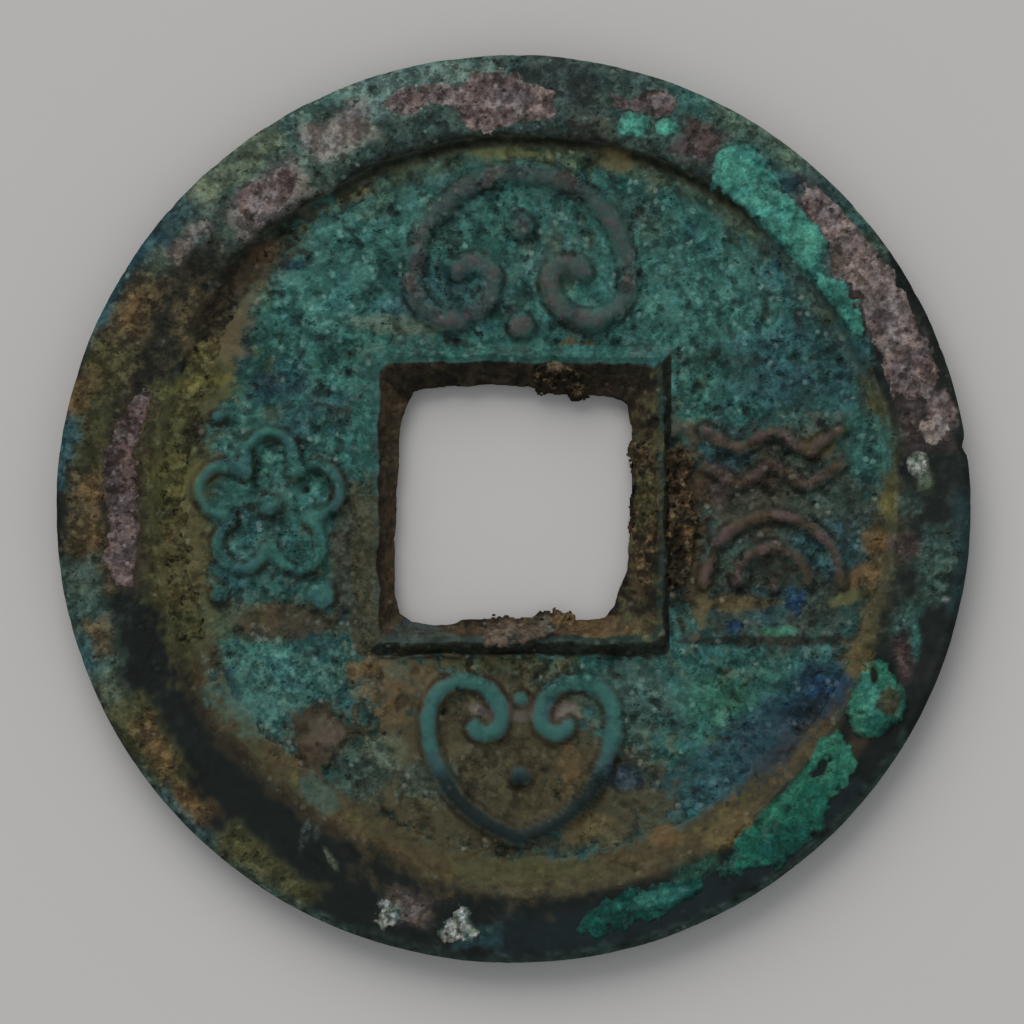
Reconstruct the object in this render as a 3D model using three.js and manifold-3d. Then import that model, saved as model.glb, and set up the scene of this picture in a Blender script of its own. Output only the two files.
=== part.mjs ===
// A Chinese cash coin: one bronze casting with a square string hole, raised rims, raised borders
// round the hole and four relief ornaments on its obverse, and the mineral crusts and packed
// earth that burial left on it, each of which is a body of its own.
//
// Units are millimetres and +Z is up. The coin lies on its reverse with its obverse up. The
// origin is on the plane that it rests on, under the middle of the disc. +Y is the top of the
// obverse and +X is its right.

import * as THREE from 'three';
import { mergeVertices } from 'three/addons/utils/BufferGeometryUtils.js';
import Module from 'manifold-3d';

const wasm = await Module();
wasm.setup();

// Sizes of the disc and its rims
const COIN_DIAMETER = 25;
const COIN_THICKNESS = 1.2;
const COIN_EDGE_ROUND = 0.15;
const RIM_WIDTH = 2.15;
const RIM_WALL_SLOPE = 0.3;
const OBVERSE_DEPTH = 0.35;
const REVERSE_RIM_WIDTH = 2.1;
const REVERSE_WALL_SLOPE = 0.2;
const REVERSE_DEPTH = 0.2;

// The obverse field was cast a little off the disc's middle, and so was the hole
const FIELD_SHIFT = new THREE.Vector2(0.2, -0.19);
const HOLE_SHIFT = new THREE.Vector2(0.04, 0.1);

// Sizes of the string hole, its flared mouths and the borders round it
const HOLE_SIDE = 6.6;
const HOLE_CORNER_RADIUS = 0.4;
const MOUTH_FLARE = 0.48;
const MOUTH_DEPTH = 0.65;
const BORDER_WIDTH = 0.85;
const BORDER_HEIGHT = 0.3;
const BORDER_SLOPE = 0.12;
const REVERSE_BORDER_WIDTH = 0.9;
const REVERSE_BORDER_HEIGHT = 0.15;
const REVERSE_MOUTH_FLARE = 0.1;

// Height of the relief ornaments and the clear space at their inner and outer ends
const ORNAMENT_HEIGHT = 0.28;
const ORNAMENT_MARGIN = 0.3;

// Widths of the ornaments' lines and beads, as shares of the band between the border and the
// rim's wall, which each ornament fills
const ROUND_SHARE = 0.035;
const CLOUD_STROKE_SHARE = 0.122;
const CLOUD_BEAD_SHARE = 0.0765;
const LEAF_STROKE_SHARE = 0.115;
const LEAF_BEAD_SHARE = 0.07;
const WAVE_STROKE_SHARE = 0.09;
const WAVE_PITCH_SHARE = 0.15;
const RIPPLE_SWING_SHARE = 0.045;
const RIPPLE_PITCH_SHARE = 0.16;
const PETAL_RADIUS_SHARE = 0.118;
const PETAL_STROKE_SHARE = 0.084;
const BLOSSOM_BEAD_SHARE = 0.073;

// Thicknesses of the deposits, and the clear space that each keeps to what stands beside it
const MALACHITE_THICKNESS = 0.13;
const KNOB_THICKNESS = 0.2;
const CUPRITE_THICKNESS = 0.07;
const CALCITE_THICKNESS = 0.1;
const EARTH_THICKNESS = 0.2;
const AZURITE_THICKNESS = 0.1;
const HOLE_CRUST_THICKNESS = 0.24;
const EARTH_FILL_WIDTH = 0.68;
const HOLE_CRUST_WIDTH = 0.5;
const LIP_SEAT_WIDTH = 0.16;
const LIP_OVERHANG = 0.26;
const DEPOSIT_CLEARANCE = 0.12;
const DEPOSIT_ROUND = 0.1;
const SPOT_ROUND = 0.05;

// Half breadths of the small spots, along X and along Y
const KNOB_REACH = [0.74, 0.96];
const WIDE_SPOT_REACH = [0.4, 0.29];
const NARROW_SPOT_REACH = [0.36, 0.24];
const CUPRITE_SPOT_REACH = [0.42, 0.46];
const CALCITE_BOTTOM_REACH = [0.48, 0.36];
const CALCITE_LEFT_REACH = [0.5, 0.44];
const CALCITE_RIGHT_REACH = [0.26, 0.24];
const EARTH_PATCH_REACH = [0.95, 0.62];
const AZURITE_INNER_REACH = [0.42, 0.3];
const AZURITE_OUTER_REACH = [0.5, 0.32];

// Heights and edges that follow from the sizes
const coinRadius = COIN_DIAMETER / 2;
const fieldZ = COIN_THICKNESS - OBVERSE_DEPTH;
const rimInnerRadius = coinRadius - RIM_WIDTH;
const fieldRadius = rimInnerRadius - RIM_WALL_SLOPE;
const holeHalf = HOLE_SIDE / 2;
const borderHalf = holeHalf + BORDER_WIDTH;
const borderZ = fieldZ + BORDER_HEIGHT;
const fillOuterRadius = fieldRadius - DEPOSIT_CLEARANCE;
const fillInnerRadius = fillOuterRadius - EARTH_FILL_WIDTH;

// Lines and beads of the ornaments
const reliefBand = fieldRadius - borderHalf;
const ornamentRound = ROUND_SHARE * reliefBand;
const cloudStroke = CLOUD_STROKE_SHARE * reliefBand;
const cloudBeadRadius = CLOUD_BEAD_SHARE * reliefBand;
const leafStroke = LEAF_STROKE_SHARE * reliefBand;
const leafBeadRadius = LEAF_BEAD_SHARE * reliefBand;
const waveStroke = WAVE_STROKE_SHARE * reliefBand;
const wavePitch = WAVE_PITCH_SHARE * reliefBand;
const rippleSwing = RIPPLE_SWING_SHARE * reliefBand;
const ripplePitch = RIPPLE_PITCH_SHARE * reliefBand;
const petalRadius = PETAL_RADIUS_SHARE * reliefBand;
const petalStroke = PETAL_STROKE_SHARE * reliefBand;
const blossomBeadRadius = BLOSSOM_BEAD_SHARE * reliefBand;

const DISC_STEPS = 96;
const CURVE_STEPS = 7;
const CUT_OVERRUN = 1;

// Solids

function solidFrom(geometry) {
  const bare = geometry.clone();
  bare.deleteAttribute('normal');
  bare.deleteAttribute('uv');
  const merged = mergeVertices(bare);
  const corners = merged.index.array;
  const kept = [];
  for (let i = 0; i < corners.length; i += 3) {
    const [a, b, c] = corners.slice(i, i + 3);
    if (a !== b && b !== c && c !== a) kept.push(a, b, c);
  }
  return new wasm.Manifold(new wasm.Mesh({
    numProp: 3,
    vertProperties: new Float32Array(merged.attributes.position.array),
    triVerts: new Uint32Array(kept),
  }));
}

function geometryFrom(solid) {
  const mesh = solid.getMesh();
  const geometry = new THREE.BufferGeometry();
  geometry.setAttribute('position', new THREE.BufferAttribute(mesh.vertProperties, 3));
  geometry.setIndex(new THREE.BufferAttribute(mesh.triVerts, 1));
  geometry.computeVertexNormals();
  return geometry;
}

// A solid turned about the Z axis from pairs of radius and height
function turned(profile) {
  const points = profile.map(([radius, z]) => new THREE.Vector2(radius, z));
  const geometry = new THREE.LatheGeometry(points, DISC_STEPS);
  geometry.rotateX(Math.PI / 2);
  return solidFrom(geometry);
}

// A plate whose widest outline lies at z = 0 and whose edges are rounded off above and below it
function pebble(shape, height, round) {
  const flat = height * 0.15;
  const geometry = new THREE.ExtrudeGeometry(shape, {
    depth: 2 * flat,
    bevelThickness: height - flat,
    bevelSize: round,
    bevelOffset: -round,
    bevelSegments: 1,
    curveSegments: CURVE_STEPS,
  });
  geometry.translate(0, 0, -flat);
  return solidFrom(geometry);
}

// The upper half of such a plate, flat underneath
function crust(shape, height, round = DEPOSIT_ROUND) {
  const below = new THREE.BoxGeometry(2 * COIN_DIAMETER, 2 * COIN_DIAMETER, CUT_OVERRUN);
  below.translate(0, 0, -CUT_OVERRUN / 2);
  return pebble(shape, height, round).subtract(solidFrom(below));
}

// Outlines

function polar(angle, radius, centre = new THREE.Vector2()) {
  return new THREE.Vector2(
    centre.x + radius * Math.cos(angle),
    centre.y + radius * Math.sin(angle),
  );
}

function arcPoints(centre, radius, fromDegrees, toDegrees, steps) {
  return Array.from({ length: steps + 1 }, (_, i) => {
    const angle = THREE.MathUtils.degToRad(THREE.MathUtils.lerp(fromDegrees, toDegrees, i / steps));
    return polar(angle, radius, centre);
  });
}

// The outline of a stroke along a line of centre points, mitred at its corners and round at its
// ends. halfWidthAt gives half of its width at a share of its length
function strokeShape(centres, halfWidthAt) {
  const last = centres.length - 1;
  const normals = centres.slice(1).map((point, i) => {
    const along = point.clone().sub(centres[i]).normalize();
    return new THREE.Vector2(-along.y, along.x);
  });
  const sideAt = (i, sign) => {
    const before = normals[Math.max(i - 1, 0)];
    const after = normals[Math.min(i, last - 1)];
    const mitre = before.clone().add(after).divideScalar(1 + before.dot(after));
    return centres[i].clone().addScaledVector(mitre, sign * halfWidthAt(i / last));
  };
  const capAt = (i, normal, sign) => {
    const start = Math.atan2(-sign * normal.y, -sign * normal.x);
    const steps = 4;
    return Array.from({ length: steps - 1 }, (_, k) =>
      polar(start + Math.PI * (k + 1) / steps, halfWidthAt(i / last), centres[i]));
  };
  const indices = centres.map((_, i) => i);
  return new THREE.Shape([
    ...indices.map((i) => sideAt(i, -1)),
    ...capAt(last, normals[last - 1], 1),
    ...indices.reverse().map((i) => sideAt(i, 1)),
    ...capAt(0, normals[0], -1),
  ]);
}

function diskShape(centre, radius) {
  return new THREE.Shape().absarc(centre.x, centre.y, radius, 0, 2 * Math.PI);
}

// A rounded spot whose edge wanders in and out a few times
function spotShape(centre, [radiusX, radiusY], lobes, phase) {
  const steps = 18;
  return new THREE.Shape(Array.from({ length: steps }, (_, i) => {
    const angle = 2 * Math.PI * i / steps;
    const reach = 0.86 + 0.14 * Math.sin(lobes * angle + phase);
    return new THREE.Vector2(
      centre.x + radiusX * reach * Math.cos(angle),
      centre.y + radiusY * reach * Math.sin(angle),
    );
  }));
}

function roundedSquare(half, cornerRadius) {
  const flat = half - cornerRadius;
  const { x, y } = HOLE_SHIFT;
  return new THREE.Shape()
    .absarc(x + flat, y + flat, cornerRadius, 0, Math.PI / 2)
    .absarc(x - flat, y + flat, cornerRadius, Math.PI / 2, Math.PI)
    .absarc(x - flat, y - flat, cornerRadius, Math.PI, 1.5 * Math.PI)
    .absarc(x + flat, y - flat, cornerRadius, 1.5 * Math.PI, 2 * Math.PI);
}

// A square prism from z = bottom upwards, whose sides lean out by flare over its first rise
function flaredSquare(half, cornerRadius, bottom, rise, flare, height) {
  const geometry = new THREE.ExtrudeGeometry(roundedSquare(half, cornerRadius), {
    depth: height,
    bevelThickness: rise,
    bevelSize: flare,
    bevelSegments: 1,
    curveSegments: CURVE_STEPS,
  });
  geometry.translate(0, 0, bottom + rise);
  return solidFrom(geometry);
}

// Relief ornaments, each of them raised on the field

function mirrored(points) {
  const others = points.map((point) => new THREE.Vector2(-point.x, point.y));
  return [...others.reverse(), ...points.slice(1)];
}

function placed(points, centre) {
  return points.map((point) => point.clone().add(centre));
}

// How far out an ornament of some breadth can reach before the earth along the rim's wall
function reachAt(halfBreadth) {
  return Math.sqrt(fillInnerRadius ** 2 - halfBreadth ** 2) - DEPOSIT_CLEARANCE;
}

// The band for an ornament at the top or the bottom of the field, along Y
function bandAt(side, wallGap) {
  const inner = HOLE_SHIFT.y + side * (borderHalf + ORNAMENT_MARGIN);
  const outer = FIELD_SHIFT.y + side * (fieldRadius - wallGap);
  return { inner, outer, depth: Math.abs(outer - inner) };
}

// Top: a cloud head, whose crown runs down on both sides into two curls, with two beads
function cloudHead() {
  const halfStroke = cloudStroke / 2;
  const band = bandAt(1, ORNAMENT_MARGIN);
  const curlShare = 0.37;
  const crownRadius = (band.depth - cloudStroke - cloudBeadRadius / 2) / (1 + curlShare);
  const curlRadius = crownRadius * curlShare;
  const innerRadius = curlRadius * 0.45;
  const middle = new THREE.Vector2(FIELD_SHIFT.x, band.outer - halfStroke - crownRadius);
  const curlCentre = new THREE.Vector2(crownRadius - curlRadius, 0);
  const innerCentre = new THREE.Vector2(curlCentre.x - curlRadius + innerRadius, 0);
  const half = [
    ...arcPoints(new THREE.Vector2(), crownRadius, 90, 0, 7),
    ...arcPoints(curlCentre, curlRadius, 0, -180, 7).slice(1),
    ...arcPoints(innerCentre, innerRadius, 180, 30, 5).slice(1),
  ];
  const upperBead = new THREE.Vector2(middle.x, middle.y + crownRadius / 2);
  const lowerBead = new THREE.Vector2(middle.x, band.inner + cloudBeadRadius);
  return [
    strokeShape(placed(mirrored(half), middle), () => halfStroke),
    diskShape(upperBead, cloudBeadRadius),
    diskShape(lowerBead, cloudBeadRadius),
  ];
}

// Bottom: a leaf that points at the rim, whose two edges curl in at its top, with two beads
function leafScroll() {
  const halfStroke = leafStroke / 2;
  const band = bandAt(-1, fieldRadius - reachAt(0));
  const curlShare = 0.4;
  const tipShare = 1.28;
  const halfBreadth = (band.depth - leafStroke) / (tipShare + curlShare);
  const curlRadius = halfBreadth * curlShare;
  const innerRadius = curlRadius * 0.42;
  const sideRadius = halfBreadth * (1 + tipShare ** 2) / 2;
  const sideCentre = new THREE.Vector2(halfBreadth - sideRadius, 0);
  const tipAngle = -THREE.MathUtils.radToDeg(Math.acos(-sideCentre.x / sideRadius));
  const curlCentre = new THREE.Vector2(halfBreadth - curlRadius, 0);
  const innerCentre = new THREE.Vector2(curlCentre.x - curlRadius + innerRadius, 0);
  const middle = new THREE.Vector2(FIELD_SHIFT.x, band.inner - halfStroke - curlRadius);
  const half = [
    ...arcPoints(sideCentre, sideRadius, tipAngle, 0, 8),
    ...arcPoints(curlCentre, curlRadius, 0, 180, 7).slice(1),
    ...arcPoints(innerCentre, innerRadius, 180, 330, 5).slice(1),
  ];
  const lowerBead = new THREE.Vector2(middle.x, middle.y - halfBreadth * 0.62);
  const upperBead = new THREE.Vector2(middle.x, middle.y + curlRadius * 0.5);
  return [
    strokeShape(placed(mirrored(half), middle), () => halfStroke),
    diskShape(lowerBead, leafBeadRadius),
    diskShape(upperBead, leafBeadRadius * 0.8),
  ];
}

// The band for an ornament of some half height at the left or the right of the field, along X
function sideBand(side, innerGap, halfHeight) {
  const inner = HOLE_SHIFT.x + side * (borderHalf + innerGap);
  const outer = FIELD_SHIFT.x + side * reachAt(halfHeight);
  return { middle: (inner + outer) / 2, half: Math.abs(outer - inner) / 2 };
}

// The nested arches at the right stand on their foot and reach half of their breadth to each side
function archesAt() {
  const innerGap = HOLE_CRUST_WIDTH + 2 * DEPOSIT_CLEARANCE;
  const { middle, half } = sideBand(1, innerGap, ripplePitch + 2 * rippleSwing);
  return { foot: new THREE.Vector2(middle, HOLE_SHIFT.y - half), half };
}

// Right: two rippling lines over nested arches, the old sign for water
function waves() {
  const halfStroke = waveStroke / 2;
  const { foot, half } = archesAt();
  const shapes = [];
  for (let radius = half - halfStroke; radius > waveStroke; radius -= wavePitch) {
    shapes.push(strokeShape(arcPoints(foot, radius, 180, 0, 10), () => halfStroke));
  }
  shapes.push(diskShape(foot, waveStroke * 0.6));
  const steps = 16;
  for (const row of [0, 1]) {
    const y = foot.y + half + ORNAMENT_MARGIN + rippleSwing + halfStroke + row * ripplePitch;
    const ripple = Array.from({ length: steps + 1 }, (_, i) => {
      const along = i / steps - 0.5;
      const swing = rippleSwing * Math.cos(4 * Math.PI * along);
      return new THREE.Vector2(foot.x + 2 * (half - halfStroke) * along, y + swing);
    });
    shapes.push(strokeShape(ripple, () => halfStroke));
  }
  return shapes;
}

// Left: a blossom of five open petals round a bead, with four beads at its corners
function blossom() {
  const { middle, half } = sideBand(-1, ORNAMENT_MARGIN, petalRadius);
  const centre = new THREE.Vector2(middle, HOLE_SHIFT.y);
  const petalReach = half - petalRadius - petalStroke / 2;
  const shapes = [diskShape(centre, blossomBeadRadius)];
  for (let petal = 0; petal < 5; petal += 1) {
    const towards = 90 + 72 * petal;
    const petalCentre = polar(THREE.MathUtils.degToRad(towards), petalReach, centre);
    const line = arcPoints(petalCentre, petalRadius, towards - 125, towards + 125, 8);
    shapes.push(strokeShape(line, () => petalStroke / 2));
  }
  for (const [side, up, share] of [[1, 1, 0.85], [1, -1, 1.15], [-1, 1, 0.7], [-1, -1, 0.8]]) {
    const bead = centre.clone().add(new THREE.Vector2(side * half * 0.62, up * half * 1.08));
    shapes.push(diskShape(bead, blossomBeadRadius * share));
  }
  return shapes;
}

// The casting: every made feature of the coin is poured in one piece

function dish(radius, slope, depth) {
  const lean = slope / depth;
  return turned([
    [0, 0],
    [radius - slope, 0],
    [radius + lean * CUT_OVERRUN, depth + CUT_OVERRUN],
    [0, depth + CUT_OVERRUN],
  ]);
}

function coinCasting() {
  let body = turned([
    [0, 0],
    [coinRadius - COIN_EDGE_ROUND, 0],
    [coinRadius, COIN_EDGE_ROUND],
    [coinRadius, COIN_THICKNESS - COIN_EDGE_ROUND],
    [coinRadius - COIN_EDGE_ROUND, COIN_THICKNESS],
    [0, COIN_THICKNESS],
  ]);

  const obverseDish = dish(rimInnerRadius, RIM_WALL_SLOPE, OBVERSE_DEPTH)
    .translate([FIELD_SHIFT.x, FIELD_SHIFT.y, fieldZ]);
  const reverseDish = dish(coinRadius - REVERSE_RIM_WIDTH, REVERSE_WALL_SLOPE, REVERSE_DEPTH)
    .rotate([180, 0, 0])
    .translate([0, 0, REVERSE_DEPTH]);
  body = body.subtract(obverseDish).subtract(reverseDish);

  // Each border stands on its field and sinks a little into the metal under it
  const sink = 0.1;
  const obverseBorder = flaredSquare(
    borderHalf - BORDER_SLOPE, HOLE_CORNER_RADIUS, 0, BORDER_HEIGHT, BORDER_SLOPE, sink,
  ).rotate([180, 0, 0]).translate([0, 2 * HOLE_SHIFT.y, borderZ]);
  const reverseBorder = flaredSquare(
    holeHalf + REVERSE_BORDER_WIDTH - BORDER_SLOPE, HOLE_CORNER_RADIUS,
    REVERSE_DEPTH - REVERSE_BORDER_HEIGHT, REVERSE_BORDER_HEIGHT, BORDER_SLOPE, sink,
  );
  body = body.add(obverseBorder).add(reverseBorder);

  for (const shape of [...cloudHead(), ...waves(), ...leafScroll(), ...blossom()]) {
    const stroke = pebble(shape, ORNAMENT_HEIGHT, ornamentRound);
    body = body.add(stroke.translate([0, 0, fieldZ]));
  }

  const hole = flaredSquare(
    holeHalf, HOLE_CORNER_RADIUS, borderZ - MOUTH_DEPTH, MOUTH_DEPTH + CUT_OVERRUN,
    MOUTH_FLARE * (MOUTH_DEPTH + CUT_OVERRUN) / MOUTH_DEPTH, CUT_OVERRUN,
  );
  const shaft = flaredSquare(holeHalf, HOLE_CORNER_RADIUS, -CUT_OVERRUN, CUT_OVERRUN / 2, 0,
    COIN_THICKNESS + CUT_OVERRUN);
  const reverseMouth = flaredSquare(
    holeHalf, HOLE_CORNER_RADIUS, 0, REVERSE_MOUTH_FLARE + CUT_OVERRUN,
    REVERSE_MOUTH_FLARE + CUT_OVERRUN, CUT_OVERRUN,
  ).rotate([180, 0, 0])
    .translate([0, 2 * HOLE_SHIFT.y, REVERSE_DEPTH - REVERSE_BORDER_HEIGHT + REVERSE_MOUTH_FLARE]);
  return body.subtract(shaft).subtract(hole).subtract(reverseMouth);
}

// Deposits on the rim. A lane is a share of the way across the rim's flat top, from 0 at its
// inner edge to 1 at its outer edge

function lanePoint(degrees, lane) {
  const angle = THREE.MathUtils.degToRad(degrees);
  const along = FIELD_SHIFT.x * Math.cos(angle) + FIELD_SHIFT.y * Math.sin(angle);
  const aside = FIELD_SHIFT.x * Math.sin(angle) - FIELD_SHIFT.y * Math.cos(angle);
  const inner = along + Math.sqrt(rimInnerRadius ** 2 - aside ** 2) + DEPOSIT_CLEARANCE;
  const outer = coinRadius - COIN_EDGE_ROUND - DEPOSIT_CLEARANCE;
  return polar(angle, THREE.MathUtils.lerp(inner, outer, lane));
}

// A patch along the rim, from one angle to another. Its lanes run from those at its start to
// those at its end, and its edge wanders inside them
function rimPatch({ from, to, startLanes, endLanes, waves: count, phase }) {
  const steps = Math.max(6, Math.round(Math.abs(to - from) / 1.8));
  const laneAt = (side, share) => THREE.MathUtils.lerp(startLanes[side], endLanes[side], share);
  const inners = [];
  const outers = [];
  for (let i = 0; i <= steps; i += 1) {
    const share = i / steps;
    const degrees = THREE.MathUtils.lerp(from, to, share);
    inners.push(lanePoint(degrees, laneAt(0, share)));
    outers.push(lanePoint(degrees, laneAt(1, share)));
  }
  const centres = inners.map((point, i) => point.clone().lerp(outers[i], 0.5));
  const halfWidthAt = (share) => {
    const i = Math.round(share * steps);
    const swell = Math.sin(Math.PI * (0.22 + 0.56 * share)) ** 0.7;
    const wander = 0.88 + 0.12 * Math.sin(2 * Math.PI * count * share + phase);
    return inners[i].distanceTo(outers[i]) / 2 * swell * wander;
  };
  return strokeShape(centres, halfWidthAt);
}

// Earth that fills the foot of the rim's wall along a stretch of the field
function fieldFill(from, to, widthShare, count, phase) {
  const halfWidth = EARTH_FILL_WIDTH * widthShare / 2;
  const steps = Math.max(6, Math.round(Math.abs(to - from) / 4));
  const centres = arcPoints(FIELD_SHIFT, fillOuterRadius - halfWidth, from, to, steps);
  return strokeShape(centres, (share) => {
    const wander = 0.9 + 0.1 * Math.sin(2 * Math.PI * count * share + phase);
    return halfWidth * wander;
  });
}

// One lump that sits on the crest of the border and leans out over the mouth of the hole. It is
// made for the hole's top edge, between two places along it
function lipLump(from, to, thickness, overhang) {
  const seat = holeHalf + MOUTH_FLARE + DEPOSIT_CLEARANCE / 4;
  const toe = holeHalf - DEPOSIT_CLEARANCE * 0.7;
  const droop = borderZ - MOUTH_DEPTH + DEPOSIT_CLEARANCE;
  const section = new THREE.Shape([
    new THREE.Vector2(seat + LIP_SEAT_WIDTH, borderZ),
    new THREE.Vector2(seat + LIP_SEAT_WIDTH * 0.9, borderZ + thickness * 0.7),
    new THREE.Vector2(seat - LIP_SEAT_WIDTH, borderZ + thickness),
    new THREE.Vector2(toe - overhang * 0.5, borderZ - thickness * 0.2),
    new THREE.Vector2(toe - overhang, droop + thickness * 0.9),
    new THREE.Vector2(toe - overhang * 0.6, droop),
    new THREE.Vector2(toe, droop),
    new THREE.Vector2(seat, borderZ),
  ]);
  const geometry = new THREE.ExtrudeGeometry(section, { depth: to - from, bevelEnabled: false });
  const toEdge = new THREE.Matrix4().makeBasis(
    new THREE.Vector3(0, 1, 0),
    new THREE.Vector3(0, 0, 1),
    new THREE.Vector3(1, 0, 0),
  );
  geometry.applyMatrix4(toEdge);
  geometry.translate(from, 0, 0);
  return solidFrom(geometry);
}

// A row of such lumps that have grown together, turned to the edge of the hole that they sit on
function lipPiece({ from, to, lumps, thickness, overhang, turn }) {
  const length = (to - from) / lumps;
  let piece = null;
  for (let i = 0; i < lumps; i += 1) {
    const share = 1 - 0.4 * Math.abs(Math.sin(2.3 * i + turn));
    const start = from + i * length;
    const end = Math.min(start + length * 1.25, to);
    const lump = lipLump(start, end, thickness * share, overhang * share);
    piece = piece ? piece.add(lump) : lump;
  }
  return piece.rotate([0, 0, turn]).translate([HOLE_SHIFT.x, HOLE_SHIFT.y, 0]);
}

// Materials

const bronze = { color: '#35534e', roughness: 0.6, metalness: 0.35 };
const malachite = { color: '#2f7f66', roughness: 0.75, metalness: 0 };
const cuprite = { color: '#665150', roughness: 0.7, metalness: 0.1 };
const calcite = { color: '#8f9590', roughness: 0.85, metalness: 0 };
const earth = { color: '#5c5339', roughness: 0.95, metalness: 0 };
const azurite = { color: '#1d4668', roughness: 0.75, metalness: 0 };
const corrodedBronze = { color: '#4b3a2a', roughness: 0.85, metalness: 0.1 };

const coin = new THREE.Group();

function addPiece(name, solid, finish, z = 0) {
  const mesh = new THREE.Mesh(geometryFrom(solid), new THREE.MeshStandardMaterial(finish));
  mesh.name = name;
  mesh.position.z = z;
  coin.add(mesh);
}

addPiece('coin_casting', coinCasting(), bronze);

// Malachite on the rim
const malachitePatches = [
  { name: 'malachite_upper_right', from: 27, to: 61, startLanes: [0, 0.26], endLanes: [0, 0.66],
    waves: 3, phase: 0.6 },
  { name: 'malachite_lower_right', from: -59, to: -35.5, startLanes: [0.15, 0.72],
    endLanes: [0, 0.62], waves: 2.5, phase: 2.1 },
  { name: 'malachite_bottom', from: -78, to: -65.5, startLanes: [0.15, 0.6],
    endLanes: [0.28, 0.76], waves: 2, phase: 4 },
];
for (const patch of malachitePatches) {
  addPiece(patch.name, crust(rimPatch(patch), MALACHITE_THICKNESS), malachite, COIN_THICKNESS);
}
const knobShape = spotShape(lanePoint(-27.5, 0.34), KNOB_REACH, 3, 1.2);
addPiece('malachite_knob', crust(knobShape, KNOB_THICKNESS), malachite, COIN_THICKNESS);
const wideSpot = spotShape(lanePoint(72.4, 0.3), WIDE_SPOT_REACH, 3, 0.4);
addPiece('malachite_spot_wide', crust(wideSpot, MALACHITE_THICKNESS, SPOT_ROUND), malachite,
  COIN_THICKNESS);
const narrowSpot = spotShape(lanePoint(67.8, 0.4), NARROW_SPOT_REACH, 2, 2.2);
addPiece('malachite_spot_narrow', crust(narrowSpot, MALACHITE_THICKNESS, SPOT_ROUND), malachite,
  COIN_THICKNESS);

// Cuprite on the rim
const cupritePatches = [
  { name: 'cuprite_top', from: 84, to: 108.5, startLanes: [0, 0.92], endLanes: [0.34, 0.74],
    waves: 2, phase: 1 },
  { name: 'cuprite_top_right', from: 66, to: 77, startLanes: [0.66, 1], endLanes: [0.58, 0.96],
    waves: 1.5, phase: 3 },
  { name: 'cuprite_upper_left', from: 123, to: 136, startLanes: [0.16, 0.7],
    endLanes: [0.2, 0.76], waves: 1.5, phase: 5 },
  { name: 'cuprite_left', from: 162, to: 193, startLanes: [0, 0.58], endLanes: [0.02, 0.4],
    waves: 3, phase: 2 },
  { name: 'cuprite_right', from: 15.5, to: 47, startLanes: [0.1, 0.85], endLanes: [0.6, 0.96],
    waves: 3, phase: 0.3 },
];
for (const patch of cupritePatches) {
  addPiece(patch.name, crust(rimPatch(patch), CUPRITE_THICKNESS), cuprite, COIN_THICKNESS);
}
const cupriteSpot = spotShape(lanePoint(11, 0.64), CUPRITE_SPOT_REACH, 3, 0);
addPiece('cuprite_spot', crust(cupriteSpot, CUPRITE_THICKNESS), cuprite, COIN_THICKNESS);

// Calcite specks on the rim
const calciteSpecks = [
  { name: 'calcite_bottom', degrees: 263, lane: 0.46, reach: CALCITE_BOTTOM_REACH },
  { name: 'calcite_lower_left', degrees: 254.4, lane: 0.54, reach: CALCITE_LEFT_REACH },
  { name: 'calcite_right', degrees: 6, lane: 0.36, reach: CALCITE_RIGHT_REACH },
];
for (const { name, degrees, lane, reach } of calciteSpecks) {
  const shape = spotShape(lanePoint(degrees, lane), reach, 4, degrees);
  addPiece(name, crust(shape, CALCITE_THICKNESS, SPOT_ROUND), calcite, COIN_THICKNESS);
}

// Earth on the field, against the wall of the rim
const earthFills = [
  { name: 'earth_left', from: 142, to: 203, widthShare: 1, waves: 4, phase: 0 },
  { name: 'earth_bottom', from: 209, to: 322, widthShare: 1, waves: 7, phase: 1 },
  { name: 'earth_right', from: -14, to: 0, widthShare: 0.75, waves: 1, phase: 2 },
  { name: 'earth_upper_left', from: 113, to: 136, widthShare: 0.6, waves: 2, phase: 3 },
];
for (const { name, from, to, widthShare, waves: count, phase } of earthFills) {
  const shape = fieldFill(from, to, widthShare, count, phase);
  addPiece(name, crust(shape, EARTH_THICKNESS), earth, fieldZ);
}

// Earth on the field between the left and the bottom ornament, by the border's corner
const patchOffset = borderHalf + DEPOSIT_CLEARANCE + EARTH_PATCH_REACH[0] / 2;
const patchCentre = HOLE_SHIFT.clone().addScalar(-patchOffset);
const earthPatch = spotShape(patchCentre, EARTH_PATCH_REACH, 3, 2);
addPiece('earth_patch', crust(earthPatch, EARTH_THICKNESS), earth, fieldZ);

// Azurite on the field, under the arches of the right ornament
const arches = archesAt();
const azuriteY = arches.foot.y - waveStroke / 2 - DEPOSIT_CLEARANCE - AZURITE_OUTER_REACH[1];
const innerPlace = new THREE.Vector2(
  arches.foot.x - arches.half * 0.51, azuriteY - AZURITE_INNER_REACH[0],
);
const outerPlace = new THREE.Vector2(arches.foot.x + arches.half * 0.3, azuriteY);
const azuriteInner = spotShape(innerPlace, AZURITE_INNER_REACH, 3, 1);
const azuriteOuter = spotShape(outerPlace, AZURITE_OUTER_REACH, 2, 2);
addPiece('azurite_inner', crust(azuriteInner, AZURITE_THICKNESS, SPOT_ROUND), azurite, fieldZ);
addPiece('azurite_outer', crust(azuriteOuter, AZURITE_THICKNESS, SPOT_ROUND), azurite, fieldZ);

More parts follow.
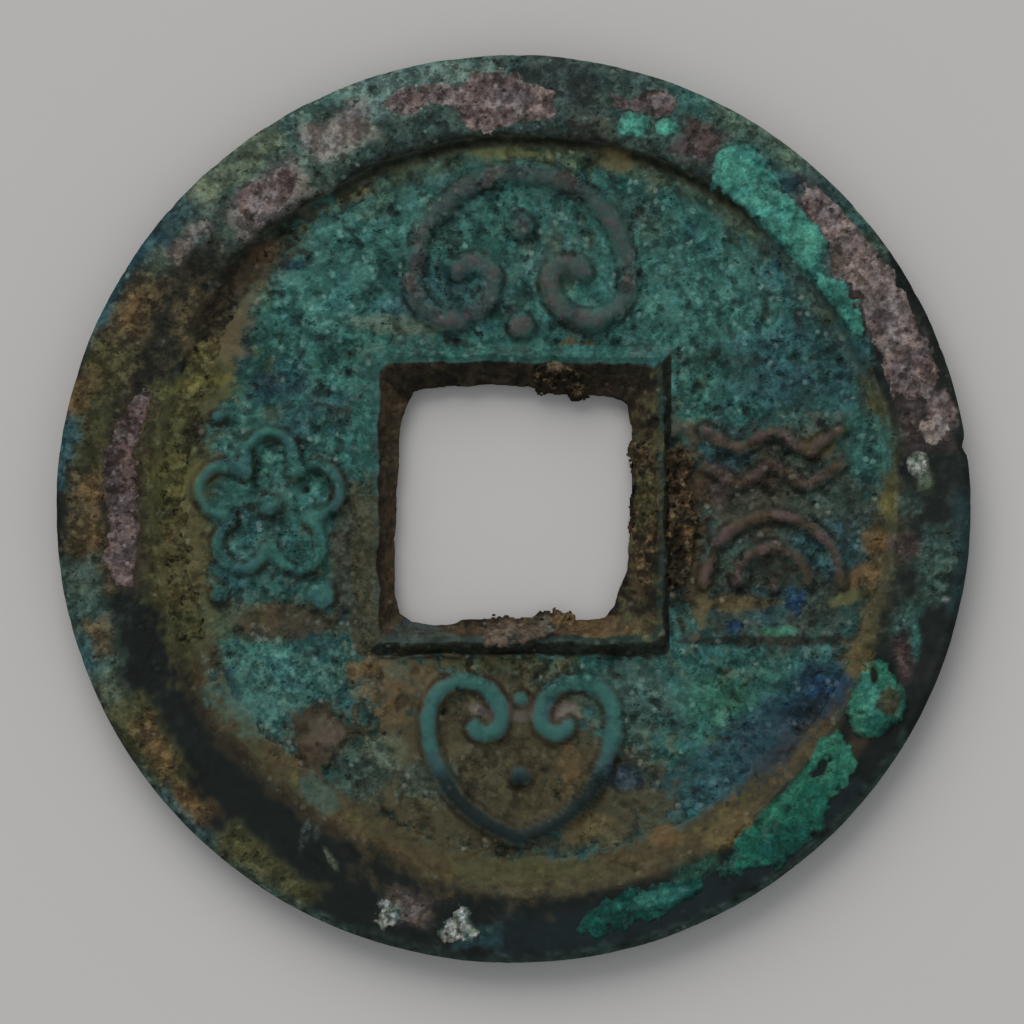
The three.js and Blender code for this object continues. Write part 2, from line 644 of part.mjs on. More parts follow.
// Deposits round the hole
addPiece('earth_on_hole_edge', lipPiece({
  from: holeHalf * 0.21, to: holeHalf * 0.62, lumps: 3, thickness: HOLE_CRUST_THICKNESS,
  overhang: LIP_OVERHANG, turn: 0,
}), earth);
addPiece('flake_on_hole_edge', lipPiece({
  from: holeHalf * -0.44, to: holeHalf * 0.27, lumps: 3, thickness: HOLE_CRUST_THICKNESS * 0.6,
  overhang: LIP_OVERHANG, turn: 180,
}), corrodedBronze);
addPiece('crust_on_hole_edge', lipPiece({
  from: holeHalf * -0.52, to: holeHalf * 0.64, lumps: 6, thickness: HOLE_CRUST_THICKNESS * 0.5,
  overhang: LIP_OVERHANG / 4, turn: -90,
}), earth);
const besideHole = new THREE.Vector2(
  HOLE_SHIFT.x + borderHalf + DEPOSIT_CLEARANCE + HOLE_CRUST_WIDTH / 2, HOLE_SHIFT.y,
);
const besideHoleLine = [0.36, 0.17, -0.02, -0.22, -0.41, -0.58]
  .map((share) => besideHole.clone().add(new THREE.Vector2(0, share * borderHalf)));
const besideHoleShape = strokeShape(besideHoleLine,
  (share) => HOLE_CRUST_WIDTH / 2 * (0.88 + 0.12 * Math.sin(9 * share)));
addPiece('crust_beside_hole', crust(besideHoleShape, HOLE_CRUST_THICKNESS), earth, fieldZ);

export default coin;
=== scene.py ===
import math

import bmesh
import bpy
import numpy as np
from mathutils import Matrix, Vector, kdtree, noise
from mathutils.bvhtree import BVHTree


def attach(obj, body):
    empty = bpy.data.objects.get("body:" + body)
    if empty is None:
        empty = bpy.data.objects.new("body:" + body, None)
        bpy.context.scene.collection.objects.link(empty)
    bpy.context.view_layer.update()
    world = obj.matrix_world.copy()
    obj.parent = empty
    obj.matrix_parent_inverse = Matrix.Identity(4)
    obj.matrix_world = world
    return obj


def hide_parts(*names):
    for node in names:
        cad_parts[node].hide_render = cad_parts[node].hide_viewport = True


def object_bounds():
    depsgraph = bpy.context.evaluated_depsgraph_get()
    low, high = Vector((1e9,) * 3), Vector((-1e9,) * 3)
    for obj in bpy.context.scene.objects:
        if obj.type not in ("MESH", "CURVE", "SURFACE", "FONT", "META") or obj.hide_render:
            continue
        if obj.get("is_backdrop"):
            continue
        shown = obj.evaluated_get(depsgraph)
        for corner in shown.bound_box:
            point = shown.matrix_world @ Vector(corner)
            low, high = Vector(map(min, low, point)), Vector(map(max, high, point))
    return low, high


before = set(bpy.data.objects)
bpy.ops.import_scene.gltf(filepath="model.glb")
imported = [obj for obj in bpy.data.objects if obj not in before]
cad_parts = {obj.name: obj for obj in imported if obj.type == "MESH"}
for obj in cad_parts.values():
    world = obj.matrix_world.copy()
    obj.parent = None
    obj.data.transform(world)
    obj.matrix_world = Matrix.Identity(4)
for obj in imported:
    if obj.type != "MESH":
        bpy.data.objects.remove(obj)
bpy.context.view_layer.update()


# The casting
# One bronze disc, poured with its two rims, the square string hole, the borders round the hole
# and four relief ornaments. Burial has turned its whole skin to dark and teal patina.

MM = 0.001
PICTURE_SIDE = 1024
COIN_MIDDLE = (513.5, 509.0)
MM_PER_PIXEL = 0.02726
FIELD_Z = 0.85
RIM_Z = 1.20
CREST_Z = 1.15
SHAFT_TOP_Z = 0.50
RELIEF_HEIGHT = 0.28
DISC_REACH = 12.5
DISC_OVAL = 0.993
DISC_STEPS = 640

# The hole as its worn edge runs, anticlockwise from its upper right corner
HOLE_EDGE = [
    (3.12, 2.84), (2.94, 2.99), (2.45, 3.12), (1.70, 3.13), (0.99, 3.16), (0.50, 3.33),
    (-0.47, 3.42), (-1.32, 3.37), (-2.42, 3.30), (-2.72, 3.22), (-2.97, 2.78), (-3.13, 2.17),
    (-3.16, 0.96), (-3.22, -0.26), (-3.25, -1.48), (-3.25, -2.39), (-3.13, -2.85),
    (-2.78, -3.09), (-2.11, -3.19), (-1.69, -3.18), (-1.41, -3.03), (-0.23, -2.99),
    (0.14, -3.07), (0.99, -2.98), (1.78, -3.07), (2.51, -2.97), (2.76, -2.66), (2.88, -2.21),
    (3.12, -1.66), (3.18, -0.87), (3.31, 0.04), (3.21, 1.08), (3.25, 1.99),
]

# How far the rim's inner edge lies from the coin's middle, and how wide the wall under it is, by
# direction in degrees
RIM_EDGE = {
    0: 10.50, 16: 10.56, 30: 10.45, 58: 10.40, 73: 10.34, 82: 10.26, 96: 10.24, 114: 10.12,
    123: 10.06, 133: 10.23, 140: 10.38, 147: 10.27, 155: 10.04, 180: 9.96, 198: 9.95, 207: 10.18,
    215: 10.26, 227: 10.12, 240: 10.20, 247: 10.18, 255: 10.42, 274: 10.63, 290: 10.69,
    303: 10.80, 314: 10.61, 330: 10.58, 350: 10.46,
}
WALL_WIDTH = {
    0: 0.40, 30: 0.34, 60: 0.30, 90: 0.30, 115: 0.42, 135: 0.70, 160: 0.55, 185: 0.45, 205: 0.70,
    230: 0.75, 265: 0.75, 300: 0.70, 330: 0.50,
}


def picture_place(across, down):
    """A place of the picture, in its pixels, as millimetres on the coin."""
    return (
        (across - COIN_MIDDLE[0]) * MM_PER_PIXEL,
        (COIN_MIDDLE[1] - down) * MM_PER_PIXEL,
    )


def ripple(points, size, seed, octaves=3):
    """Smooth noise at points in mm, about -1 to 1, whose lumps are about size mm across."""
    offset = Vector((seed * 7.3, seed * 3.1, seed * 5.7))
    scale = 1 / size
    return np.array([noise.fractal(Vector(p) * scale + offset, 0.9, 2.1, octaves) for p in points])


def ease(values, low, high):
    share = np.clip((values - low) / (high - low), 0, 1)
    return share * share * (3 - 2 * share)


def soften(line, rounds):
    for _ in range(rounds):
        line = (np.roll(line, 1, 0) + 2 * line + np.roll(line, -1, 0)) / 4
    return line


def wander(line, swing, size, seed):
    """A closed line whose reach from the middle wanders in and out by about swing."""
    spots = np.column_stack([line, np.zeros(len(line))])
    return line * (1 + swing * ripple(spots, size, seed) / np.hypot(*line.T))[:, None]


def circle_line(radius, squash=1.0):
    turns = np.linspace(-math.pi, math.pi, 1440, endpoint=False)
    return np.stack([radius * np.cos(turns), radius * squash * np.sin(turns)], 1)


def closed_line(corners, rounding=0.0, density=48):
    """A dense closed line through corners, softened over a length of rounding."""
    corners = np.array(corners, float)
    ends = np.roll(corners, -1, 0)
    shares = np.linspace(0, 1, density, endpoint=False)[:, None]
    line = np.concatenate([a + (b - a) * shares for a, b in zip(corners, ends)])
    step = np.linalg.norm(ends - corners, axis=1).sum() / len(line)
    return soften(line, int((rounding / step) ** 2))


def square_line(left, right, bottom, top, rounding):
    return closed_line([(right, top), (left, top), (left, bottom), (right, bottom)], rounding)


def by_direction(values, degrees):
    """Values known in a few directions, in degrees, read in others."""
    known = sorted(values)
    return np.interp(degrees, known, [values[d] for d in known], period=360)


def reach_along(line, turns):
    """How far a closed line lies from the coin's middle in each direction."""
    angles = np.arctan2(line[:, 1], line[:, 0])
    order = np.argsort(angles)
    return np.interp(turns, angles[order], np.hypot(*line.T)[order], period=2 * math.pi)


round_degrees = np.arange(-180, 180, 0.25)
round_turns = np.radians(round_degrees)
round_way = np.stack([np.cos(round_turns), np.sin(round_turns)], 1)
edge_reach = soften(by_direction(RIM_EDGE, round_degrees), 120)
wall_width = soften(by_direction(WALL_WIDTH, round_degrees), 300)

shaft = closed_line(HOLE_EDGE, 0.05)
mouth = wander(square_line(-3.70, 3.97, -3.50, 4.02, 0.34), 0.09, 0.9, 70)
crest = wander(square_line(-3.90, 4.09, -3.66, 4.16, 0.36), 0.09, 0.9, 70)
border_foot = wander(square_line(-4.44, 4.30, -4.02, 4.50, 0.40), 0.10, 0.8, 72)
rim_edge = wander(round_way * edge_reach[:, None], 0.05, 1.1, 73)
field_edge = rim_edge * (1 - wall_width / edge_reach)[:, None]
rim_shoulder = circle_line(12.28, DISC_OVAL)
disc_edge = wander(circle_line(DISC_REACH - 0.03, DISC_OVAL), 0.012, 1.6, 74)
reverse_shoulder = circle_line(12.3, DISC_OVAL)
reverse_rim_edge = circle_line(10.4, DISC_OVAL)
reverse_field_edge = circle_line(10.1, DISC_OVAL)
reverse_foot = square_line(-4.16, 4.24, -4.10, 4.30, 0.24)
reverse_crest = square_line(-4.02, 4.10, -3.96, 4.16, 0.24)

# Bands of the casting's skin from the hole's wall outwards and back along the reverse. Each has
# its count of rings, its first and last line, its first and last height, how far its lumps swell
# and how grainy it is
BANDS = {
    "shaft": (4, shaft, shaft, 0.15, SHAFT_TOP_Z, 0.03, 0.4),
    "mouth": (11, shaft, mouth, SHAFT_TOP_Z, 1.08, 0.05, 0.45),
    "crest": (4, mouth, crest, 1.08, CREST_Z - 0.03, 0.03, 0.4),
    "border": (8, crest, border_foot, CREST_Z - 0.03, FIELD_Z, 0.035, 0.5),
    "field": (60, border_foot, field_edge, FIELD_Z, FIELD_Z, 0.042, 1.0),
    "wall": (7, field_edge, rim_edge, FIELD_Z, RIM_Z - 0.03, 0.024, 0.35),
    "rim": (24, rim_edge, rim_shoulder, RIM_Z - 0.03, RIM_Z - 0.01, 0.02, 0.8),
    "round": (4, rim_shoulder, disc_edge, RIM_Z - 0.01, 1.04, 0.015, 0.6),
    "edge": (4, disc_edge, disc_edge, 1.04, 0.16, 0.014, 0.6),
    "under": (3, disc_edge, reverse_shoulder, 0.16, 0.01, 0.02, 0.5),
    "reverse_rim": (6, reverse_shoulder, reverse_rim_edge, 0.01, 0.02, 0.006, 0.4),
    "reverse_wall": (3, reverse_rim_edge, reverse_field_edge, 0.02, 0.2, 0.02, 0.6),
    "reverse_field": (8, reverse_field_edge, reverse_foot, 0.2, 0.2, 0.03, 0.8),
    "reverse_border": (3, reverse_foot, reverse_crest, 0.2, 0.06, 0.01, 0.5),
    "reverse_mouth": (3, reverse_crest, shaft, 0.06, 0.15, 0.01, 0.5),
}
ring_count = sum(band[0] for band in BANDS.values())

bm = bmesh.new()
profile = [bm.verts.new((1 + ring, 0, 0)) for ring in range(ring_count)]
links = [bm.edges.new((a, b)) for a, b in zip(profile, profile[1:] + profile[:1])]
bmesh.ops.spin(bm, geom=profile + links, cent=(0, 0, 0), axis=(0, 0, 1), angle=2 * math.pi,
               steps=DISC_STEPS, use_merge=True)
coin_mesh = bpy.data.meshes.new("coin")
bm.to_mesh(coin_mesh)
bm.free()


def vectors(source, name):
    """The named vector of each of a mesh's vertices or normals, one row for each."""
    flat = np.zeros(len(source) * 3, np.float32)
    source.foreach_get(name, flat)
    return flat.reshape(-1, 3).astype(float)


def places(mesh):
    return vectors(mesh.vertices, "co")


def set_places(mesh, points):
    mesh.vertices.foreach_set("co", points.astype(np.float32).ravel())
    mesh.update()


def face_outwards(mesh):
    bm = bmesh.new()
    bm.from_mesh(mesh)
    bmesh.ops.recalc_face_normals(bm, faces=bm.faces)
    bm.to_mesh(mesh)
    bm.free()


spun = places(coin_mesh)
rings = np.round(np.hypot(spun[:, 0], spun[:, 1]) - 1).astype(int)
turns = np.arctan2(spun[:, 1], spun[:, 0])
degrees = np.degrees(turns)
reach = np.zeros(len(spun))
height = np.zeros(len(spun))
swell = np.zeros(len(spun))
grain = np.zeros(len(spun))
band_of = np.empty(len(spun), dtype=object)
first_ring = 0
for band, (count, inner, outer, low, high, lumps, rough) in BANDS.items():
    here = (rings >= first_ring) & (rings < first_ring + count)
    share = (rings[here] - first_ring) / count
    inner_reach = reach_along(inner, turns[here])
    outer_reach = reach_along(outer, turns[here])
    reach[here] = inner_reach + (outer_reach - inner_reach) * share
    height[here] = low + (high - low) * ease(share, 0, 1)
    swell[here] = lumps
    grain[here] = rough
    band_of[here] = band
    first_ring += count
coin = np.stack([reach * np.cos(turns), reach * np.sin(turns), height], 1)


def on_bands(*names):
    return np.isin(band_of, names)


def surface_tree(mesh):
    """A mesh in millimetres, ready for rays."""
    return BVHTree.FromPolygons([v.co / MM for v in mesh.vertices],
                                [p.vertices for p in mesh.polygons])


cast_tree = surface_tree(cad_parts["coin_casting"].data)
DOWN = Vector((0, 0, -1))
ABOVE_Z = 5


def height_on(tree, x, y, miss):
    hit = tree.ray_cast(Vector((x, y, ABOVE_Z)), DOWN)[0]
    return miss if hit is None else hit.z


def disc_of_places(*circles):
    """Places round (0, 0), on circles that are each a radius and a count."""
    around = [(0.0, 0.0)]
    for radius, count in circles:
        around += [(radius * math.cos(2 * math.pi * (k + 0.5) / count),
                    radius * math.sin(2 * math.pi * (k + 0.5) / count)) for k in range(count)]
    return around


# The ornaments' relief is read from the casting's solid and softened, as wear has softened it
WEAR = disc_of_places((0.06, 4), (0.11, 7))
RELIEF_REACH = 9.6
field = on_bands("field")
relief = np.zeros(len(coin))
on_field = field & (reach < RELIEF_REACH)
eaten = 0.045 * np.stack([ripple(coin[on_field], 0.55, 14), ripple(coin[on_field], 0.55, 15)], 1)
relief[on_field] = [
    sum(height_on(cast_tree, x + dx, y + dy, FIELD_Z) - FIELD_Z for dx, dy in WEAR) / len(WEAR)
    for x, y in coin[on_field, :2] + eaten
]
relief = np.clip(relief, 0, RELIEF_HEIGHT)
coin[:, 2] += relief

# The rim is rough where minerals have grown on it, and smooth and dark at the lower left
RIM_ROUGHNESS = {
    0: 0.5, 30: 0.9, 60: 0.95, 90: 0.9, 120: 1.0, 150: 0.9, 185: 0.8, 205: 0.5, 218: 0.2,
    250: 0.2, 262: 0.5, 275: 0.25, 315: 0.25, 335: 0.4,
}
flat = coin * (1, 1, 0)
broad = ripple(flat, 2.4, 1)
mid = ripple(flat, 0.7, 2)
fine = ripple(flat, 0.28, 3, 2)
tiny = ripple(flat, 0.20, 6, 1)
rim_skin = on_bands("rim", "round", "edge")
roughness_by_way = by_direction(RIM_ROUGHNESS, degrees)
swell[rim_skin] *= roughness_by_way[rim_skin]
grain[rim_skin] *= roughness_by_way[rim_skin]
patches = ease(ripple(flat, 1.0, 5), -0.35, 0.45)
grain[field] *= 0.45 + 0.55 * patches[field]
swell[field] *= 0.7 + 0.5 * patches[field]
set_places(coin_mesh, coin)
face_outwards(coin_mesh)
face = vectors(coin_mesh.vertex_normals, "vector")
worn = 1 - 0.5 * relief / RELIEF_HEIGHT
grain *= worn
lumps = (0.6 * broad + 0.85 * mid + 0.8 * fine + 0.3 * tiny) * swell * worn
pits = ease(ripple(flat, 0.45, 4, 2), 0.3, 0.6) * swell * worn * 1.6
coin += face * (lumps - pits)[:, None]
NOTCH_DEPTH = 0.12
NOTCH_SPREAD = 0.03
notch = picture_place(968, 446)
notch_depth = NOTCH_DEPTH * np.exp(
    -((coin[:, 0] - notch[0]) ** 2 + (coin[:, 1] - notch[1]) ** 2) / NOTCH_SPREAD)
coin[:, :2] *= (1 - notch_depth / DISC_REACH)[:, None]
coin[:, 2] = np.maximum(coin[:, 2], 0)
coin_x, coin_y = coin[:, 0], coin[:, 1]
set_places(coin_mesh, coin * MM)

# Colours of the patina, the minerals and the dirt, and of painted shade. Each is a pair: the colour
# of its grains and the darker one that shows between them
TEAL = ((0.028, 0.095, 0.083), (0.010, 0.034, 0.031))
LIGHT_TEAL = ((0.040, 0.122, 0.106), (0.016, 0.056, 0.050))
TURQUOISE = ((0.050, 0.132, 0.114), (0.016, 0.052, 0.050))
GREEN = ((0.026, 0.100, 0.066), (0.010, 0.038, 0.028))
BLUE_TEAL = ((0.024, 0.068, 0.076), (0.009, 0.026, 0.031))
NAVY = ((0.012, 0.030, 0.046), (0.006, 0.013, 0.019))
AZURE = ((0.012, 0.038, 0.075), (0.006, 0.017, 0.030))
PALE_TEAL = ((0.140, 0.230, 0.205), (0.042, 0.068, 0.060))
OLIVE = ((0.055, 0.057, 0.025), (0.020, 0.020, 0.009))
YELLOW_OLIVE = ((0.110, 0.105, 0.036), (0.035, 0.034, 0.013))
OCHRE = ((0.088, 0.069, 0.030), (0.030, 0.023, 0.011))
LOESS = ((0.050, 0.042, 0.022), (0.020, 0.016, 0.009))
RUST = ((0.105, 0.070, 0.032), (0.032, 0.022, 0.011))
BROWN = ((0.046, 0.033, 0.019), (0.015, 0.011, 0.007))
# Dark brown is dirt in places, and painted shade at the hole's mouth, the border's slope, the wall
# and the relief's foot
DARK_BROWN = ((0.013, 0.011, 0.007), (0.005, 0.0045, 0.0035))
# Painted shadow for the rim's wall where it faces away from the light
SHADOW_GREEN = ((0.005, 0.007, 0.004), (0.003, 0.004, 0.003))
MURK = ((0.034, 0.040, 0.031), (0.012, 0.014, 0.011))
TAN_SPECKS = ((0.085, 0.068, 0.036), (0.014, 0.012, 0.008))
CHARCOAL = ((0.0062, 0.0090, 0.0083), (0.0045, 0.006, 0.0055))
SLATE = ((0.038, 0.055, 0.052), (0.013, 0.018, 0.017))
GREY_TEAL = ((0.044, 0.080, 0.066), (0.014, 0.026, 0.022))
GREY_GREEN = ((0.105, 0.135, 0.092), (0.036, 0.052, 0.036))
LILAC = ((0.170, 0.134, 0.128), (0.060, 0.046, 0.044))
GREY_LILAC = ((0.180, 0.155, 0.145), (0.066, 0.055, 0.051))
PLUM = ((0.069, 0.049, 0.048), (0.021, 0.015, 0.014))
CHALK = ((0.30, 0.32, 0.30), (0.10, 0.105, 0.098))

# Stains that lie anywhere: colour, place in the picture, half sizes, turn in degrees, strength
STAINS = [
    (LIGHT_TEAL, 680, 300, 85, 60, 0, 0.8), (LIGHT_TEAL, 385, 225, 65, 34, 20, 0.6),
    (LIGHT_TEAL, 335, 265, 60, 50, 30, 0.9), (BLUE_TEAL, 440, 300, 60, 40, 0, 0.6),
    (BLUE_TEAL, 805, 370, 75, 45, 0, 0.7), (BLUE_TEAL, 800, 270, 40, 60, 30, 0.4),
    (NAVY, 275, 385, 30, 14, 0, 0.6), (NAVY, 291, 265, 13, 6, 0, 0.9),
    (GREEN, 715, 700, 36, 24, 0, 0.7), (LIGHT_TEAL, 660, 690, 40, 22, 0, 0.5),
    (NAVY, 812, 695, 40, 28, 40, 0.9), (NAVY, 755, 745, 75, 30, 40, 0.75),
    (BLUE_TEAL, 690, 785, 56, 26, 20, 0.8), (AZURE, 825, 685, 20, 12, 20, 0.7),
    # The dark brown stain on this line is painted shadow on the upper left wall
    (TAN_SPECKS, 214, 335, 34, 50, 10, 0.8), (DARK_BROWN, 228, 292, 50, 15, 55, 0.85),
    (BROWN, 258, 264, 30, 13, 50, 0.75),
    (OLIVE, 205, 385, 40, 20, 10, 0.9), (OLIVE, 178, 510, 36, 130, 0, 0.95),
    (YELLOW_OLIVE, 205, 382, 34, 8, 8, 0.8), (OCHRE, 185, 560, 26, 50, 0, 0.5),
    (YELLOW_OLIVE, 180, 475, 30, 18, 0, 0.5), (DARK_BROWN, 195, 430, 12, 14, 0, 0.7),
    (BROWN, 350, 555, 22, 80, 0, 0.7), (MURK, 800, 500, 100, 80, 0, 0.85),
    (MURK, 780, 590, 110, 52, 0, 0.8), (BROWN, 735, 500, 50, 60, 0, 0.5),
    (BLUE_TEAL, 726, 452, 26, 22, 0, 0.7), (PLUM, 716, 486, 20, 20, 0, 0.5),
    (BLUE_TEAL, 826, 548, 36, 28, 0, 0.85), (LIGHT_TEAL, 832, 560, 16, 12, 0, 0.4),
    (GREY_TEAL, 735, 560, 24, 20, 0, 0.7), (GREY_TEAL, 826, 494, 20, 14, 0, 0.6),
    (TEAL, 870, 450, 22, 40, 0, 0.8), (BLUE_TEAL, 770, 606, 18, 24, 30, 0.7),
    (DARK_BROWN, 770, 641, 90, 5, 0, 0.8), (GREEN, 780, 631, 17, 5, 0, 0.9),
    (OCHRE, 735, 603, 40, 8, 0, 0.8), (OCHRE, 818, 447, 20, 10, 0, 0.8),
    (OCHRE, 720, 440, 24, 6, -15, 0.6), (YELLOW_OLIVE, 850, 598, 26, 7, 15, 0.6),
    (RUST, 875, 540, 12, 15, 0, 0.9), (RUST, 864, 576, 18, 11, 30, 0.9),
    (OCHRE, 700, 600, 10, 30, 0, 0.7), (OCHRE, 858, 660, 14, 20, 30, 0.8),
    (OCHRE, 728, 832, 24, 15, 30, 0.9), (YELLOW_OLIVE, 889, 505, 8, 14, 0, 0.8),
    (GREY_TEAL, 700, 428, 14, 9, 0, 0.8),
    (LOESS, 475, 765, 130, 112, 0, 0.95), (LOESS, 600, 800, 70, 60, 0, 0.9),
    (RUST, 400, 685, 42, 34, 0, 0.55), (OLIVE, 500, 663, 70, 8, 0, 0.6),
    (LILAC, 520, 712, 56, 10, 0, 0.4), (GREY_TEAL, 432, 780, 32, 20, 0, 0.5),
    (OCHRE, 586, 828, 36, 16, 0, 0.6), (RUST, 568, 772, 9, 24, 0, 0.7),
    (GREY_TEAL, 630, 700, 40, 44, 0, 0.8), (NAVY, 622, 777, 26, 14, 0, 0.7),
    (OLIVE, 520, 872, 90, 14, 0, 0.5), (RUST, 666, 836, 18, 10, 0, 0.8),
    (OLIVE, 240, 622, 60, 20, 0, 0.7), (BROWN, 290, 622, 46, 22, 0, 0.85),
    (TURQUOISE, 280, 690, 60, 46, 0, 0.6), (BROWN, 322, 740, 32, 38, 20, 0.95),
    (GREY_LILAC, 325, 735, 18, 14, 30, 0.15), (GREY_TEAL, 362, 768, 30, 26, 0, 0.8),
    (LIGHT_TEAL, 318, 795, 24, 13, -40, 0.35), (GREY_GREEN, 385, 750, 26, 16, 0, 0.4),
    (OCHRE, 585, 350, 28, 10, -8, 0.95), (GREY_TEAL, 650, 352, 36, 8, -8, 0.7),
    (GREY_GREEN, 400, 325, 46, 9, -6, 0.6), (BROWN, 685, 520, 24, 90, 0, 0.9),
    (OCHRE, 612, 160, 20, 12, -20, 0.75), (YELLOW_OLIVE, 505, 152, 40, 5, 0, 0.6),
    (BROWN, 285, 250, 26, 12, 40, 0.5), (YELLOW_OLIVE, 205, 352, 16, 10, 40, 0.4),
    (TURQUOISE, 221, 417, 8, 6, 0, 0.8), (SLATE, 305, 836, 15, 3.5, 76, 0.8),
    (GREY_GREEN, 331, 860, 14, 3.5, -56, 0.7), (SLATE, 317, 832, 9, 3, 80, 0.6),
    (DARK_BROWN, 225, 526, 6, 5, 0, 0.9), (DARK_BROWN, 250, 507, 5, 5, 0, 0.8),
    (LILAC, 940, 412, 14, 20, 0, 0.8), (GREY_GREEN, 925, 478, 8, 14, 0, 0.7),
    (GREY_TEAL, 935, 562, 18, 34, 0, 0.8), (GREY_TEAL, 905, 620, 14, 14, 0, 0.6),
    (PLUM, 905, 655, 10, 24, 0, 0.7), (TEAL, 915, 640, 6, 20, 0, 0.7),
    (PLUM, 905, 545, 14, 12, 0, 0.6), (GREY_TEAL, 910, 505, 14, 12, 0, 0.5),
    (CHALK, 945, 600, 4, 3, 0, 0.6),
]

# Stains along the rim and its wall: colour, first and last angle, first and last share of the way
# across the rim, which is less than 0 on the wall and the field, and strength. Some are painted
# shadow on the wall
RIM_STAINS = [
    (OLIVE, 10, 132, -0.42, 0.0, 0.55), (OLIVE, 150, 206, -0.55, 0.0, 0.9),
    (TAN_SPECKS, 112, 164, -0.72, -0.4, 0.75), (LOESS, 203, 332, -0.6, 0.02, 1.0),
    (OLIVE, -24, 34, -0.32, 0.02, 0.8), (YELLOW_OLIVE, -2, 8, -0.2, 0.0, 0.5),
    (RUST, 236, 262, -0.5, -0.1, 0.5), (OCHRE, -22, 4, -0.4, 0.0, 0.6),
    # Painted shadow on the wall from 20 to 200 degrees, where it faces away from the light
    (SHADOW_GREEN, 20, 124, -0.16, 0.02, 1.0), (SHADOW_GREEN, 125, 165, -0.46, 0.05, 1.0),
    (DARK_BROWN, 163, 200, -0.14, 0.03, 0.6), (DARK_BROWN, 198, 262, -0.17, 0.05, 0.85),
    (GREY_TEAL, 34, 142, 0.04, 1.3, 0.95), (TEAL, 38, 70, 0.35, 1.3, 0.5),
    (TEAL, 92, 124, 0.75, 1.3, 0.3), (PALE_TEAL, 92, 113, 0.5, 1.1, 1.0),
    (PALE_TEAL, 110, 126, 0.3, 1.0, 0.6), (GREY_GREEN, 44, 64, 0.8, 1.3, 0.4),
    (SLATE, 70, 112, 0.04, 1.2, 0.4), (SLATE, 79, 88, 0.35, 1.1, 0.95),
    (CHARCOAL, 137, 166, -0.05, 0.52, 0.9), (TAN_SPECKS, 118, 178, -0.03, 0.7, 0.15),
    (GREY_GREEN, 121, 137, 0.7, 1.15, 0.9), (GREY_TEAL, 111, 122, 0.5, 1.0, 0.8),
    (GREY_LILAC, 110, 120, 0.3, 0.85, 0.8), (LILAC, 122, 135, 0.05, 0.62, 0.6),
    (NAVY, 135.5, 144, 0.68, 1.3, 0.5), (GREY_LILAC, 136, 144, 0.5, 0.74, 0.7),
    (BLUE_TEAL, 143, 160, 0.85, 1.3, 0.8), (GREY_GREEN, 144, 150, 0.6, 0.9, 0.7),
    (TAN_SPECKS, 147, 163, 0.45, 1.0, 0.9), (RUST, 149, 156, 0.55, 0.9, 0.5),
    (OLIVE, 157, 176, 0.5, 1.1, 0.7), (RUST, 162, 168, 0.85, 1.2, 0.85),
    (BLUE_TEAL, 168, 178, 0.9, 1.3, 0.9), (TAN_SPECKS, 174, 192, 0.5, 1.0, 0.9),
    (RUST, 175, 185, 0.5, 0.8, 0.8), (BROWN, 163, 192, -0.05, 0.5, 0.6),
    (GREY_TEAL, 186, 203, 0.6, 1.3, 0.8), (BLUE_TEAL, 196, 203, 0.85, 1.3, 0.8),
    (RUST, 194.5, 200, 0.68, 0.95, 0.85), (GREY_GREEN, 201, 208, 0.7, 1.1, 0.7),
    (OLIVE, 206, 220, 0.5, 1.1, 0.8), (RUST, 209, 218, 0.55, 0.9, 0.8),
    (RUST, 219, 226, 0.65, 1.1, 0.85), (BLUE_TEAL, 219, 229, 0.95, 1.3, 0.9),
    (OLIVE, 228, 237, 0.6, 1.15, 0.9), (OLIVE, 237, 243, 0.7, 1.1, 0.8),
    (GREY_TEAL, 214, 250, 1.0, 1.4, 0.7), (NAVY, 268, 322, 0.25, 1.0, 0.15),
    (LILAC, 253, 258, 0.25, 0.7, 0.5), (GREY_TEAL, 250, 330, 1.0, 1.4, 0.5),
    (BLUE_TEAL, 262, 268, 0.5, 0.9, 0.6), (GREEN, 294, 300, 0.02, 0.35, 0.6),
    (MURK, -24, 26, 0.0, 1.2, 0.12), (GREY_TEAL, -13, -2, 0.4, 0.9, 0.85),
    (TEAL, -18, -13, 0.2, 0.6, 0.6), (BLUE_TEAL, -14, 2, 0.85, 1.2, 0.3),
    (BROWN, -37, -33, 0.3, 0.6, 0.6), (PLUM, 60, 66.5, 0.12, 0.75, 0.95),
    (BROWN, 76, 82, 0.0, 0.3, 0.5), (PLUM, 8, 50, 0.15, 0.9, 0.6),
    (TURQUOISE, 64.5, 68.5, 0.8, 1.15, 0.8), (BLUE_TEAL, 48.5, 51.5, 0.5, 0.75, 0.9),
    (NAVY, 42, 50, 0.75, 1.2, 0.5), (GREEN, 22, 30, -0.12, 0.02, 0.8),
]


def paint(coat, colour, cover):
    """Lays a pair of colours over a coat of such pairs, one for each point."""
    coat += (np.array(colour) - coat) * cover[:, None, None]


def paint_stains(coat, points, ragged, stains):
    for colour, across, down, half_width, half_height, turn, strength in stains:
        x, y = picture_place(across, down)
        angle = math.radians(turn)
        dx, dy = points[:, 0] - x, points[:, 1] - y
        along = (dx * math.cos(angle) + dy * math.sin(angle)) / (half_width * MM_PER_PIXEL)
        aside = (dy * math.cos(angle) - dx * math.sin(angle)) / (half_height * MM_PER_PIXEL)
        paint(coat, colour, ease(-np.hypot(along, aside) + ragged, -1.3, -0.7) * strength)


def rim_lane(points):
    """Where points lie across the rim, from 0 at its inner edge to 1 at its outer edge."""
    turn = np.arctan2(points[:, 1], points[:, 0])
    low, high = reach_along(rim_edge, turn), reach_along(rim_shoulder, turn)
    return (np.hypot(points[:, 0], points[:, 1]) - low) / (high - low)


